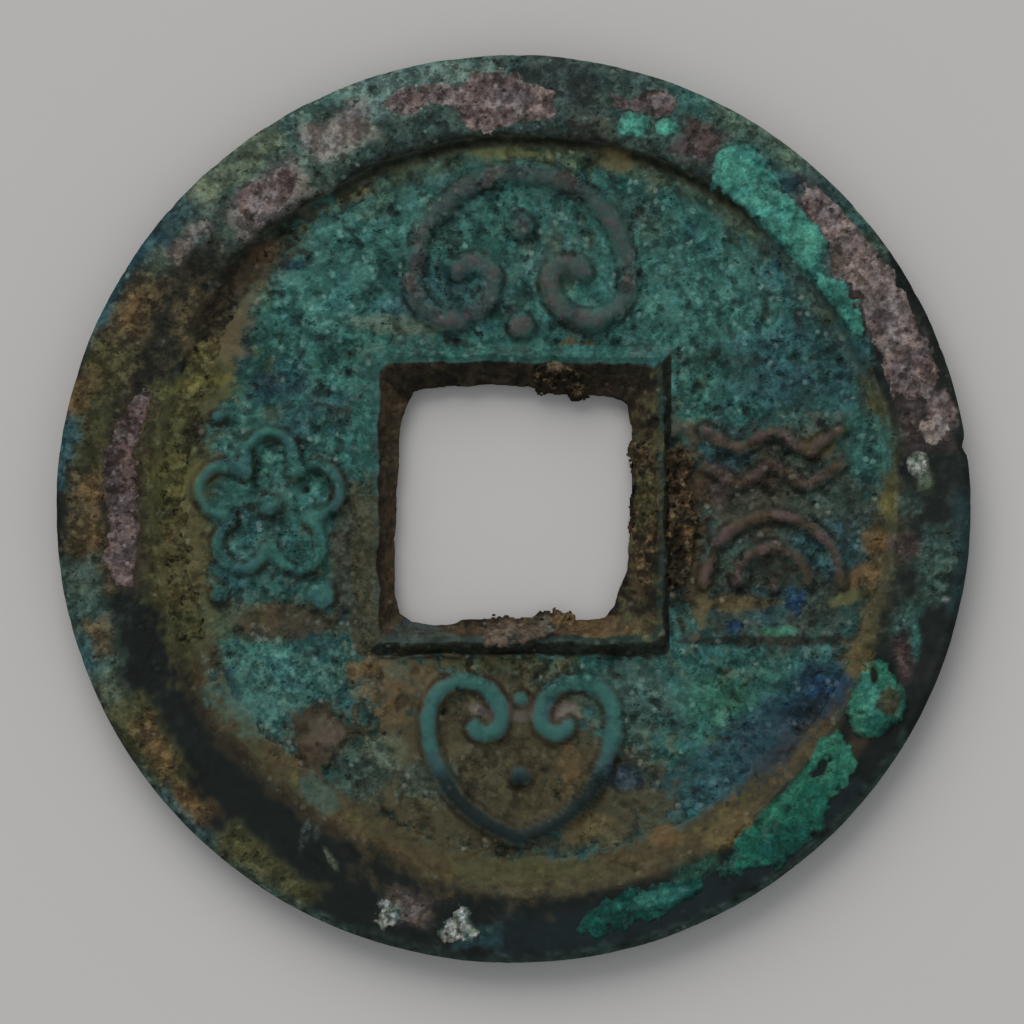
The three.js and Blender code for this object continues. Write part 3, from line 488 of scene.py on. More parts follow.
def paint_rim(coat, points, ragged, stains):
    way = np.degrees(np.arctan2(points[:, 1], points[:, 0]))
    lane = rim_lane(points)
    for colour, start, end, low, high, strength in stains:
        half = (end - start) / 2
        along = (np.abs((way - start - half + 180) % 360 - 180) - half) / 1.6
        across = (np.abs(lane - (low + high) / 2) - (high - low) / 2) / 0.14
        outside = np.maximum(along, across)
        paint(coat, colour, ease(-outside + 1.7 * ragged, -0.6, 1.0) * strength)


coat = np.zeros((len(coin), 2, 3)) + TEAL
ragged = 0.34 * mid + 0.3 * fine + 0.12 * tiny
obverse = on_bands("mouth", "crest", "border", "field", "wall", "rim", "round", "edge")
paint(coat, LIGHT_TEAL, ease(mid + fine, 0.1, 0.6) * field * 0.5)
paint(coat, BLUE_TEAL, ease(ripple(flat, 1.1, 8) + 0.3 * fine, 0.0, 0.5) * field * 0.6)
paint(coat, OLIVE, ease(ripple(flat, 0.8, 9) + 0.5 * fine, 0.3, 0.6) * field * 0.5)
paint(coat, GREEN, ease(ripple(flat, 0.9, 10) + 0.3 * fine, 0.25, 0.6) * field * 0.45)
paint(coat, GREY_TEAL, ease(ripple(flat, 1.4, 16) + 0.4 * fine, -0.1, 0.6) * field * 0.6)
paint(coat, MURK, on_bands("wall") * 0.9)
paint(coat, CHARCOAL, rim_skin * 1.0)
paint(coat, SLATE, ease(mid + fine, 0.2, 0.8) * rim_skin * roughness_by_way ** 2 * 0.6)
stained = coat.copy()
paint_rim(stained, coin, ragged, RIM_STAINS)
paint_stains(stained, coin, ragged, STAINS)
coat = np.where(obverse[:, None, None], stained, coat)

# Bare dark metal on the rim is smooth, and whatever has grown on it is rough
grown = ease(coat[:, 0].mean(1), 0.012, 0.045)
grain[rim_skin] = 0.12 + 0.5 * np.maximum(grown, roughness_by_way ** 2)[rim_skin]
earthy = ease(coat[:, 0, 0] - coat[:, 0, 2], 0.008, 0.026)
grain[field] *= 1 - 0.5 * earthy[field]

# Painted highlight and shade: the skin's high spots are painted a little paler and its low spots
# darker, and its pits are painted dark brown
rise = lumps / np.maximum(swell, 0.001)
painted_highlight = np.clip(coat * 1.35 + 0.008, 0, 1)
coat += (painted_highlight - coat) * (ease(rise, 0.3, 0.9) * field * (1 - 0.5 * earthy))[:, None, None]
coat *= 1 - (0.45 * ease(-rise, 0.3, 0.9) * np.where(rim_skin, 0.6, obverse))[:, None, None]
paint(coat, DARK_BROWN, ease(pits, 0.01, 0.05) * field * 0.6)

# Painted shade and dirt lie at the foot of the relief, and the relief's tops are worn to other
# colours
foot_shade_and_dirt = ease(relief, 0.01, 0.06) * (1 - ease(relief, 0.12, 0.22))
paint(coat, DARK_BROWN, foot_shade_and_dirt * field * (0.3 + 0.5 * ease(mid + fine, -0.2, 0.4)))
top_of_relief = ease(relief, 0.16, 0.25)
ORNAMENT_START = 4
at_top, at_bottom = coin_y > ORNAMENT_START, coin_y < -ORNAMENT_START
at_right, at_left = coin_x > ORNAMENT_START, coin_x < -ORNAMENT_START
paint(coat, SLATE, top_of_relief * at_top * 0.85)
paint(coat, PLUM, top_of_relief * at_top * ease(mid + fine, 0.1, 0.5) * 0.5)
paint(coat, BLUE_TEAL, top_of_relief * at_bottom * 0.8)
paint(coat, TEAL, top_of_relief * at_bottom * (coin_y > -6.6) * 0.8)
paint(coat, CHARCOAL, top_of_relief * ease(-coin_y, 6.8, 7.5) * 0.9)
paint(coat, BROWN, top_of_relief * at_right * 0.9)
paint(coat, PLUM, top_of_relief * at_right * ease(mid + fine, -0.3, 0.4) * 0.85)
paint(coat, TEAL, top_of_relief * at_left * 0.9)
paint(coat, BLUE_TEAL, top_of_relief * at_left * ease(mid, 0.0, 0.4) * 0.7)

# Painted shade makes the mouth of the hole near black at its top and left, which face away from
# the light, and it is brown where the light reaches it
mouth_skin = on_bands("mouth", "shaft")
HOLE_SIDE = 2.9
to_right = (coin_x > HOLE_SIDE) & (np.abs(coin_y) < coin_x)
to_bottom = (coin_y < -HOLE_SIDE) & (np.abs(coin_x) < -coin_y)
to_top = (coin_y > HOLE_SIDE) & (np.abs(coin_x) < coin_y)
to_left = (coin_x < -HOLE_SIDE) & (np.abs(coin_y) < -coin_x)
paint(coat, DARK_BROWN, mouth_skin * 1.0)
paint(coat, BROWN, mouth_skin * (to_right | to_bottom) * ease(mid + 0.5 * fine, -0.5, 0.2) * 0.9)
paint(coat, OLIVE, mouth_skin * to_right * ease(fine + 0.5 * mid, 0.0, 0.5) * 0.9)
paint(coat, RUST, mouth_skin * to_bottom * ease(coin_x + mid + fine, -0.5, 2.5) * 0.5)
paint(coat, BROWN, mouth_skin * to_left * ease(coin_x, -3.7, -3.45) * 0.9)
paint(coat, BROWN, mouth_skin * to_top * ease(mid + fine, -0.3, 0.5) * 0.45)
crest_skin, border_skin = on_bands("crest"), on_bands("border")
paint(coat, TEAL, border_skin * (to_top | to_left) * 1.0)
paint(coat, GREY_TEAL, border_skin * (to_top | to_left) * ease(mid + fine, -0.1, 0.5) * 0.7)
# Painted shadow on the border's outer slope at the right and bottom, which face away from the light
paint(coat, DARK_BROWN, border_skin * (to_right | to_bottom) * 0.9)
paint(coat, DARK_BROWN, crest_skin * 0.75)
paint(coat, TEAL, crest_skin * (to_top | to_left) * 0.8)
paint(coat, LOESS, (border_skin | crest_skin) * to_left * ease(mid - coin_y, -1.6, 0) * 0.85)
paint(coat, OLIVE, crest_skin * to_right * ease(fine + mid, -0.2, 0.5) * 0.7)
paint(coat, SLATE, (crest_skin | mouth_skin & (reach > 3.8)) * to_bottom
      * ease(-coin_x, -2.0, -0.6) * 0.6)
paint(coat, SLATE, crest_skin * to_left * ease(mid + fine, 0.0, 0.4) * 0.5)

reverse = on_bands("under", "reverse_rim", "reverse_wall", "reverse_field", "reverse_border",
                   "reverse_mouth")
paint(coat, SLATE, reverse * 1.0)
paint(coat, TEAL, reverse * ease(ripple(flat, 1.8, 11), -0.1, 0.3) * 0.9)
paint(coat, OLIVE, reverse * ease(ripple(flat, 1.3, 12), 0.1, 0.4) * 0.7)
paint(coat, OCHRE, reverse * ease(ripple(flat, 1.0, 13) + 0.4 * fine, 0.35, 0.6) * 0.7)


def store(mesh, coat, grain):
    """Keeps a painted coat and a graininess on a mesh, for its finish to read."""
    for name, side in (("tint", 0), ("under", 1)):
        colours = np.concatenate([np.clip(coat[:, side], 0, 1), np.ones((len(coat), 1))], 1)
        mesh.attributes.new(name, "FLOAT_COLOR", "POINT").data.foreach_set(
            "color", colours.astype(np.float32).ravel())
    mesh.attributes.new("grain", "FLOAT", "POINT").data.foreach_set(
        "value", grain.astype(np.float32))


def wire(tree, kind, settings, inputs):
    """One node of a finish. Inputs are numbers, colours or other nodes' outputs, by socket."""
    node = tree.nodes.new("ShaderNode" + kind)
    for name, value in settings.items():
        setattr(node, name, value)
    for socket, value in inputs.items():
        if isinstance(value, bpy.types.NodeSocket):
            tree.links.new(value, node.inputs[socket])
        else:
            node.inputs[socket].default_value = value
    return node


def corroded_finish(name, crystal_mm, pale, pits, roughness, bump_mm):
    """A mineral skin: lumps of its painted tint with the under colour in the dips between them,
    crystals a little lighter or darker than each other, pale specks and dark pits."""
    material = bpy.data.materials.new(name)
    material.use_nodes = True
    tree = material.node_tree
    shader = tree.nodes["Principled BSDF"]
    spot = wire(tree, "TexCoord", {}, {}).outputs["Object"]
    tint = wire(tree, "Attribute", {"attribute_name": "tint"}, {}).outputs["Color"]
    under = wire(tree, "Attribute", {"attribute_name": "under"}, {}).outputs["Color"]
    grain = wire(tree, "Attribute", {"attribute_name": "grain"}, {}).outputs["Fac"]

    def lumps(size_mm, detail, output="Fac"):
        return wire(tree, "TexNoise", {}, {
            "Vector": spot, "Scale": 1 / (size_mm * MM), "Detail": detail, "Roughness": 0.6,
        }).outputs[output]

    def crystals(size_mm, place):
        cells = wire(tree, "TexVoronoi", {}, {"Vector": place, "Scale": 1 / (size_mm * MM)})
        return cells.outputs["Distance"], parts(cells.outputs["Color"])

    def parts(colour):
        return wire(tree, "SeparateColor", {}, {0: colour}).outputs

    def spread(source, low, high, start, end):
        return wire(tree, "MapRange", {"interpolation_type": "SMOOTHSTEP"}, {
            "Value": source, "From Min": low, "From Max": high, "To Min": start, "To Max": end,
        }).outputs["Result"]

    def blend(kind, factor, below, above):
        return wire(tree, "Mix", {"data_type": "RGBA", "blend_type": kind},
                    {0: factor, 6: below, 7: above}).outputs[2]

    def combine(kind, a, b):
        return wire(tree, "Math", {"operation": kind}, {0: a, 1: b}).outputs[0]

    drift = wire(tree, "VectorMath", {"operation": "SCALE"},
                 {0: lumps(crystal_mm * 1.5, 2, "Color"), "Scale": crystal_mm * MM})
    bent = wire(tree, "VectorMath", {"operation": "ADD"}, {0: spot, 1: drift.outputs[0]})
    distance, chance = crystals(crystal_mm, bent.outputs[0])
    dot_distance, dot_chance = crystals(crystal_mm * 1.9, bent.outputs[0])
    clusters = parts(lumps(crystal_mm * 6, 3, "Color"))
    dips = lumps(crystal_mm * 2.6, 5)
    rough = spread(grain, 0.0, 0.7, 0.0, 1.0)

    low = combine("ADD", dips, combine("MULTIPLY", chance[0], 0.08))
    low = combine("MULTIPLY", spread(low, 0.46, 0.62, 0.85, 0.0), rough)
    shade = blend("MIX", low, tint, under)
    lit = combine("MULTIPLY", spread(chance[1], 0.0, 1.0, 0.86, 1.15),
                  spread(lumps(crystal_mm * 1.1, 3), 0.3, 0.7, 0.75, 1.28))
    lit = combine("MULTIPLY", lit, spread(clusters[0], 0.3, 0.7, 0.78, 1.28))
    shade = blend("MULTIPLY", rough, shade, lit)
    cast = blend("MIX", spread(clusters[1], 0.35, 0.65, 0.0, 1.0),
                 (0.94, 1.0, 1.05, 1), (1.08, 1.0, 0.93, 1))
    shade = blend("MULTIPLY", rough, shade, cast)

    specks = combine("MULTIPLY", spread(dot_distance, 0.15, 0.45, 1.0, 0.0),
                     spread(dot_chance[2], 0.80, 0.88, 0.0, pale))
    specks = combine("MULTIPLY", specks, spread(clusters[2], 0.4, 0.6, 0.15, 1.0))
    bright = blend("ADD", 1.0, blend("MULTIPLY", 1.0, tint, (1.5, 1.5, 1.5, 1)),
                   (0.07, 0.075, 0.065, 1))
    shade = blend("MIX", combine("MULTIPLY", specks, rough), shade, bright)
    hollows = combine("MULTIPLY", spread(lumps(crystal_mm * 2.2, 2), 0.60, 0.72, 0.0, 1.0), rough)
    shade = blend("MIX", combine("MULTIPLY", hollows, pits), shade, (0.004, 0.004, 0.003, 1))
    tree.links.new(shade, shader.inputs["Base Color"])
    tree.links.new(spread(grain, 0.1, 0.7, roughness - 0.25, roughness),
                   shader.inputs["Roughness"])

    rise = combine("ADD", dips, combine("MULTIPLY", distance, -0.12))
    rise = combine("ADD", rise, combine("MULTIPLY", hollows, -0.5))
    rise = combine("MULTIPLY", rise, spread(clusters[2], 0.3, 0.7, 0.5, 1.3))
    bump = wire(tree, "Bump", {}, {
        "Height": combine("MULTIPLY", rise, rough), "Distance": bump_mm * MM, "Strength": 1.0,
    })
    tree.links.new(bump.outputs["Normal"], shader.inputs["Normal"])
    shader.inputs["Specular IOR Level"].default_value = 0.08
    return material


def add_piece(name, mesh, finish, node):
    piece = bpy.data.objects.new(name, mesh)
    bpy.context.scene.collection.objects.link(piece)
    mesh.materials.append(finish)
    mesh.polygons.foreach_set("use_smooth", [True] * len(mesh.polygons))
    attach(piece, "root")
    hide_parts(node)


store(coin_mesh, coat, grain)
patina = corroded_finish("patina", 0.125, 0.7, 0.7, 0.85, 0.11)
add_piece("coin", coin_mesh, patina, "coin_casting")


# Malachite on the rim
# Green copper carbonate, grown out of the bronze as a hard, powdery crust: two long patches, a
# triangular one, a knob and two small spots.

SINK = 0.035
BARE = -0.2
RIM_REACH = 12.2
coin_tree = surface_tree(coin_mesh)
coin_near = kdtree.KDTree(len(coin))
for number in np.flatnonzero(obverse):
    coin_near.insert((coin[number, 0], coin[number, 1], 0), number)
coin_near.balance()


def drawn_line(*places_in_picture):
    """A closed line through places of the picture, in its pixels, with its corners softened."""
    return closed_line([picture_place(*place) for place in places_in_picture], 0.1, 12)


def spot_line(across, down, half_width, half_height):
    """An oval round a place of the picture, in its pixels."""
    turns = np.linspace(0, 2 * math.pi, 60, endpoint=False)
    x, y = picture_place(across, down)
    return np.stack([
        x + half_width * MM_PER_PIXEL * np.cos(turns),
        y + half_height * MM_PER_PIXEL * np.sin(turns),
    ], 1)


def wall_line(start, end, inner, outer):
    """A strip along the rim's inner edge, from inner to outer millimetres inside it."""
    way = np.radians(np.linspace(start, end, int(abs(end - start)) + 2))
    edge = reach_along(rim_edge, way)
    back, forth = [
        np.stack([(edge - gap) * np.cos(way), (edge - gap) * np.sin(way)], 1)
        for gap in (outer, inner)
    ]
    return closed_line(np.concatenate([back, forth[::-1]]), 0.1, 4)


def depth_inside(points, line):
    """How far points lie inside a closed line, in mm, and less than 0 outside it."""
    ends = np.roll(line, -1, 0)
    depth = np.zeros(len(points))
    for start in range(0, len(points), 2000):
        x, y = points[start:start + 2000, 0:1], points[start:start + 2000, 1:2]
        away = np.sqrt(((x - line[:, 0]) ** 2 + (y - line[:, 1]) ** 2).min(1))
        spans = (line[:, 1] > y) != (ends[:, 1] > y)
        rise = np.where(ends[:, 1] == line[:, 1], 1e-9, ends[:, 1] - line[:, 1])
        crossing = line[:, 0] + (ends[:, 0] - line[:, 0]) * (y - line[:, 1]) / rise
        inside = (spans & (x < crossing)).sum(1) % 2 == 1
        depth[start:start + 2000] = np.where(inside, away, -away)
    return depth


def crust_mesh(name, outline, gaps, cell, thickness, skirt, tatter, lumps, seed):
    """A crust on the coin inside an outline, which thins out over skirt and ends raggedly."""
    low, high = outline.min(0) - skirt - tatter, outline.max(0) + skirt + tatter
    width, depth = high - low
    bm = bmesh.new()
    bmesh.ops.create_grid(bm, x_segments=round(width / cell), y_segments=round(depth / cell),
                          size=0.5)
    bmesh.ops.scale(bm, vec=(width, depth, 1), verts=bm.verts)
    bmesh.ops.translate(bm, vec=(*(low + high) / 2, 0), verts=bm.verts)
    spots = np.array([v.co for v in bm.verts])
    inside = depth_inside(spots, outline)
    for gap in gaps:
        inside = np.minimum(inside, -depth_inside(spots, gap))
    inside = np.minimum(inside, RIM_REACH - np.hypot(spots[:, 0], spots[:, 1] / DISC_OVAL))
    torn = 0.6 * ripple(spots, 0.5, seed) + 0.6 * ripple(spots, 0.2, seed + 1)
    torn *= 0.4 + 1.2 * ease(ripple(spots, 1.2, seed + 4), -0.4, 0.4)
    laid = (inside + 0.06 + tatter * torn) / skirt
    laid_layer = bm.verts.layers.float.new("laid")
    for v, share in zip(bm.verts, laid):
        v[laid_layer] = share
    bare = [f for f in bm.faces if max(v[laid_layer] for v in f.verts) < BARE]
    bmesh.ops.delete(bm, geom=bare, context="FACES")
    spots = np.array([v.co for v in bm.verts])
    bumps = 0.7 * ripple(spots, 0.35, seed + 2) + 0.5 * ripple(spots, 0.13, seed + 3)
    for v, bump in zip(bm.verts, bumps):
        rise = float(ease(v[laid_layer], -0.1, 1.0))
        ground = height_on(coin_tree, v.co.x, v.co.y, SHAFT_TOP_Z)
        v.co.z = ground - SINK + (thickness * (1 + lumps * bump) + SINK) * rise
    made = bmesh.ops.extrude_face_region(bm, geom=bm.faces[:], use_keep_orig=True)["geom"]
    below = [g for g in made if isinstance(g, bmesh.types.BMVert)]
    bmesh.ops.translate(bm, vec=(0, 0, -2 * SINK), verts=below)
    bmesh.ops.recalc_face_normals(bm, faces=bm.faces)
    mesh = bpy.data.meshes.new(name)
    bm.to_mesh(mesh)
    bm.free()
    return mesh


def mineral_coat(points, base, veins, seed):
    """A mineral's own colours, with veins of others: colour, size, from, to, strength."""
    coat = np.zeros((len(points), 2, 3)) + base
    for number, (colour, size, start, end, strength) in enumerate(veins):
        paint(coat, colour, ease(ripple(points, size, seed + 5 + number), start, end) * strength)
    return coat


def lay_crust(name, node, outline, finish, base, veins, grain, seed, gaps=(), stains=(),
              cell=0.04, thickness=0.05, skirt=0.25, tatter=0.25, lumps=0.4):
    mesh = crust_mesh(name, outline, gaps, cell, thickness, skirt, tatter, lumps, seed)
    points = places(mesh)
    laid = np.zeros(len(points), np.float32)
    mesh.attributes["laid"].data.foreach_get("value", laid)
    mesh.attributes.remove(mesh.attributes["laid"])
    own = mineral_coat(points, base, veins, seed)
    ragged = 0.3 * ripple(points, 0.3, seed + 20) + 0.2 * ripple(points, 0.14, seed + 21)
    paint_stains(own, points, ragged, stains)
    bare = np.array([coat[coin_near.find((x, y, 0))[1]] for x, y in points[:, :2]])
    cover = ease(laid + 0.6 * ragged, 0.05, 1.15)[:, None, None]
    set_places(mesh, points * MM)
    store(mesh, bare + (own - bare) * cover, np.full(len(points), grain))
    add_piece(name, mesh, finish, node)


BRIGHT_MALACHITE = ((0.060, 0.230, 0.175), (0.028, 0.105, 0.082))
TEAL_MALACHITE = ((0.048, 0.195, 0.160), (0.020, 0.085, 0.070))
EMERALD = ((0.026, 0.125, 0.082), (0.013, 0.070, 0.048))
MALACHITE_GREEN = ((0.010, 0.075, 0.050), (0.006, 0.042, 0.030))
DEEP_MALACHITE = ((0.006, 0.048, 0.040), (0.004, 0.024, 0.021))
MALACHITE_VEINS = [
    (DEEP_MALACHITE, 0.6, 0.1, 0.5, 0.6), (GREY_TEAL, 0.5, 0.35, 0.6, 0.5),
    (DARK_BROWN, 0.22, 0.42, 0.6, 0.6),
]
malachite = corroded_finish("malachite", 0.11, 0.25, 0.6, 0.9, 0.07)
MALACHITE = [
    ("upper_right_malachite", "malachite_upper_right", TEAL_MALACHITE, drawn_line(
        (710, 188), (713, 158), (726, 145), (748, 143), (768, 161), (785, 186), (798, 210),
        (819, 224), (829, 242), (824, 262), (828, 276), (846, 282), (858, 300), (866, 327),
        (860, 341), (848, 330), (834, 308), (818, 290), (800, 272), (784, 251), (762, 230),
        (745, 211), (727, 198)), (), (
            (BRIGHT_MALACHITE, 732, 168, 20, 22, 40, 0.6),
            (BRIGHT_MALACHITE, 808, 248, 22, 12, 45, 0.9),
            (MALACHITE_GREEN, 852, 318, 9, 22, 20, 0.3)), 0.05),
    ("lower_right_malachite", "malachite_lower_right", MALACHITE_GREEN, drawn_line(
        (837, 726), (850, 744), (860, 765), (843, 792), (829, 806), (826, 825), (822, 837),
        (803, 864), (786, 873), (764, 869), (742, 872), (722, 880), (712, 872), (730, 856),
        (733, 842), (756, 816), (782, 790), (804, 764), (820, 744)), (
            drawn_line((825, 758), (824, 775), (813, 774)),), (
            (EMERALD, 832, 755, 24, 36, 20, 0.8), (EMERALD, 790, 794, 34, 6, 48, 0.7),
            (DEEP_MALACHITE, 786, 846, 26, 18, 35, 0.8)), 0.06),
    ("bottom_malachite", "malachite_bottom", DEEP_MALACHITE, drawn_line(
        (574, 932), (592, 905), (612, 895), (646, 884), (678, 878), (704, 875), (706, 890),
        (678, 908), (650, 922), (615, 932), (594, 937)), (), (
            (TEAL_MALACHITE, 656, 898, 34, 7, 14, 0.35),), 0.045),
    ("malachite_lump", "malachite_knob", EMERALD, drawn_line(
        (872, 656), (888, 664), (902, 686), (908, 704), (898, 726), (878, 738), (856, 735),
        (845, 714), (852, 690), (862, 670)), (), (
            (TEAL_MALACHITE, 868, 694, 12, 24, 20, 0.7), (BROWN, 890, 702, 12, 14, 0, 0.85),
            (DARK_BROWN, 874, 675, 4, 9, 0, 0.95), (DEEP_MALACHITE, 880, 724, 18, 10, 0, 0.8)),
        0.165),
    ("wide_malachite_fleck", "malachite_spot_wide", BRIGHT_MALACHITE,
        spot_line(634, 124, 17, 14), (), (), 0.04),
    ("narrow_malachite_fleck", "malachite_spot_narrow", BRIGHT_MALACHITE,
        spot_line(666, 127, 13, 10), (), (), 0.04),
]
for number, (name, node, colour, line, gaps, stains, thickness) in enumerate(MALACHITE):
    lay_crust(name, node, line, malachite, colour, MALACHITE_VEINS, 0.55,
              30 + 30 * number, gaps=gaps, stains=stains, thickness=thickness, skirt=0.20,
              tatter=0.18, lumps=0.35)


# Cuprite on the rim
# Copper oxide under the carbonates, laid bare where they have flaked off: thin lilac-brown skins
# with pale and dark specks.

CUPRITE_VEINS = [
    (GREY_LILAC, 0.5, 0.2, 0.6, 0.6), (PLUM, 0.6, 0.0, 0.4, 0.7), (GREY_LILAC, 0.2, 0.35, 0.6, 0.7),
    (DARK_BROWN, 0.25, 0.4, 0.6, 0.7),
]
cuprite = corroded_finish("cuprite", 0.105, 0.7, 0.7, 0.85, 0.08)
CUPRITE = [
    ("top_cuprite", "cuprite_top", LILAC, drawn_line(
        (378, 102), (404, 86), (434, 82), (462, 82), (472, 68), (488, 70), (515, 72), (538, 84),
        (558, 92), (557, 114), (538, 122), (512, 126), (484, 135), (466, 132), (460, 117),
        (446, 108), (424, 106), (404, 119), (383, 109)), (
            (PLUM, 420, 96, 26, 9, 10, 0.6), (PLUM, 505, 90, 30, 10, 0, 0.4)), 0.8),
    ("top_right_cuprite", "cuprite_top_right", PLUM, drawn_line(
        (605, 92), (629, 97), (650, 88), (668, 87), (681, 98), (683, 116), (660, 118), (636, 112),
        (616, 108)), ((LILAC, 664, 100, 14, 10, 0, 0.8),), 0.8),
    ("upper_left_cuprite", "cuprite_upper_left", LILAC, drawn_line(
        (236, 214), (240, 196), (258, 180), (280, 166), (298, 164), (303, 178), (290, 200),
        (272, 218), (252, 228)), ((PLUM, 288, 180, 12, 10, 0, 0.7),), 0.95),
    ("left_cuprite", "cuprite_left", PLUM, drawn_line(
        (144, 387), (155, 392), (151, 415), (142, 432), (138, 470), (139, 520), (138, 560),
        (134, 588), (114, 588), (106, 566), (108, 525), (102, 492), (105, 455), (116, 424),
        (130, 402)), ((LILAC, 136, 400, 12, 14, 0, 0.4), (LILAC, 120, 545, 14, 44, 0, 0.5)), 0.7),
    ("right_cuprite", "cuprite_right", LILAC, drawn_line(
        (800, 182), (826, 184), (850, 196), (872, 220), (892, 250), (914, 290), (932, 330),
        (944, 370), (934, 396), (912, 403), (890, 396), (882, 366), (868, 330), (860, 300),
        (846, 282), (828, 268), (830, 250), (816, 234), (802, 214)), (
            (BROWN, 834, 260, 13, 14, 0, 0.8), (GREY_LILAC, 880, 290, 40, 90, -30, 0.5),
            (PLUM, 880, 320, 10, 20, -30, 0.6)), 0.9),
    ("cuprite_fleck", "cuprite_spot", GREY_LILAC, spot_line(935, 429, 15, 16), (), 0.9),
]
for number, (name, node, colour, line, stains, rough) in enumerate(CUPRITE):
    lay_crust(name, node, line, cuprite, colour, CUPRITE_VEINS, rough,
              230 + 30 * number, stains=stains, thickness=0.016, skirt=0.18, tatter=0.22,
              lumps=0.8)


# Calcite on the rim
# Three chalky white specks of lime that dried on the metal.

calcite = corroded_finish("calcite", 0.08, 0.6, 0.5, 0.85, 0.05)
CALCITE_VEINS = [
    (GREY_GREEN, 0.35, -0.3, 0.3, 0.8), (GREY_TEAL, 0.3, 0.1, 0.5, 0.8),
    (CHARCOAL, 0.2, 0.42, 0.6, 0.7),
]
CALCITE = [
    ("bottom_calcite", "calcite_bottom", drawn_line(
        (438, 934), (448, 916), (462, 905), (474, 914), (483, 932), (474, 941), (452, 942))),
    ("lower_left_calcite", "calcite_lower_left", spot_line(389, 914, 14, 16)),
    ("right_calcite", "calcite_right", spot_line(918, 464, 12, 14)),
]
for number, (name, node, line) in enumerate(CALCITE):
    lay_crust(name, node, line, calcite, CHALK, CALCITE_VEINS, 0.9,
              420 + 30 * number, cell=0.03, thickness=0.05, skirt=0.20, tatter=0.20, lumps=0.6)


# Earth on the field
# Loess from the ground, ochre to olive: four strips packed against the rim's wall and one clod at
# the lower left.

earth = corroded_finish("earth", 0.12, 0.4, 0.9, 0.95, 0.08)
EARTH_VEINS = [
    (RUST, 0.7, 0.2, 0.6, 0.4), (OLIVE, 0.9, 0.0, 0.4, 0.7), (DARK_BROWN, 0.3, 0.25, 0.55, 0.8),
    (YELLOW_OLIVE, 0.3, 0.4, 0.6, 0.5),
]
EARTH = [
    ("left_earth", "earth_left", OLIVE, wall_line(142, 203, 0.25, 1.05), 0.07, 0.75),
    ("bottom_earth", "earth_bottom", LOESS, wall_line(209, 322, 0.35, 1.15), 0.045, 0.25),
    ("right_earth", "earth_right", OCHRE, wall_line(-14, 0, 0.25, 0.85), 0.05, 0.5),
    ("upper_left_earth", "earth_upper_left", TAN_SPECKS, wall_line(113, 136, 0.35, 0.85),
        0.05, 0.7),
    ("earth_clod", "earth_patch", RUST, drawn_line(
        (330, 668), (350, 654), (374, 652), (386, 664), (380, 680), (352, 690), (334, 684)),
        0.06, 0.5),
]
for number, (name, node, colour, line, thickness, rough) in enumerate(EARTH):
    lay_crust(name, node, line, earth, colour, EARTH_VEINS, rough, 520 + 30 * number,
              stains=STAINS, cell=0.055, thickness=thickness, skirt=0.35, tatter=0.2, lumps=0.6)


# Azurite on the field
# Two deep blue spots of copper carbonate under the right ornament.

azurite = corroded_finish("azurite", 0.08, 0.3, 0.6, 0.8, 0.04)
AZURITE_BLUE = ((0.012, 0.036, 0.072), (0.006, 0.018, 0.034))
AZURITE_VEINS = [(NAVY, 0.4, 0.1, 0.4, 0.7), (BLUE_TEAL, 0.25, 0.2, 0.5, 0.7)]
AZURITE = [
    ("inner_azurite", "azurite_inner", drawn_line(
        (722, 622), (732, 616), (744, 618), (746, 630), (738, 637), (726, 634))),
    ("outer_azurite", "azurite_outer", drawn_line(
        (784, 590), (796, 585), (808, 591), (811, 604), (802, 614), (788, 612), (781, 602))),
]
for number, (name, node, line) in enumerate(AZURITE):
    lay_crust(name, node, line, azurite, AZURITE_BLUE, AZURITE_VEINS, 0.9,
              700 + 30 * number, cell=0.03, thickness=0.03, skirt=0.22, tatter=0.18)


# Deposits round the hole
# Brown clods on the top edge, a rough crust along the right edge and beside it, and a curled
# flake of corroded metal on the bottom edge.

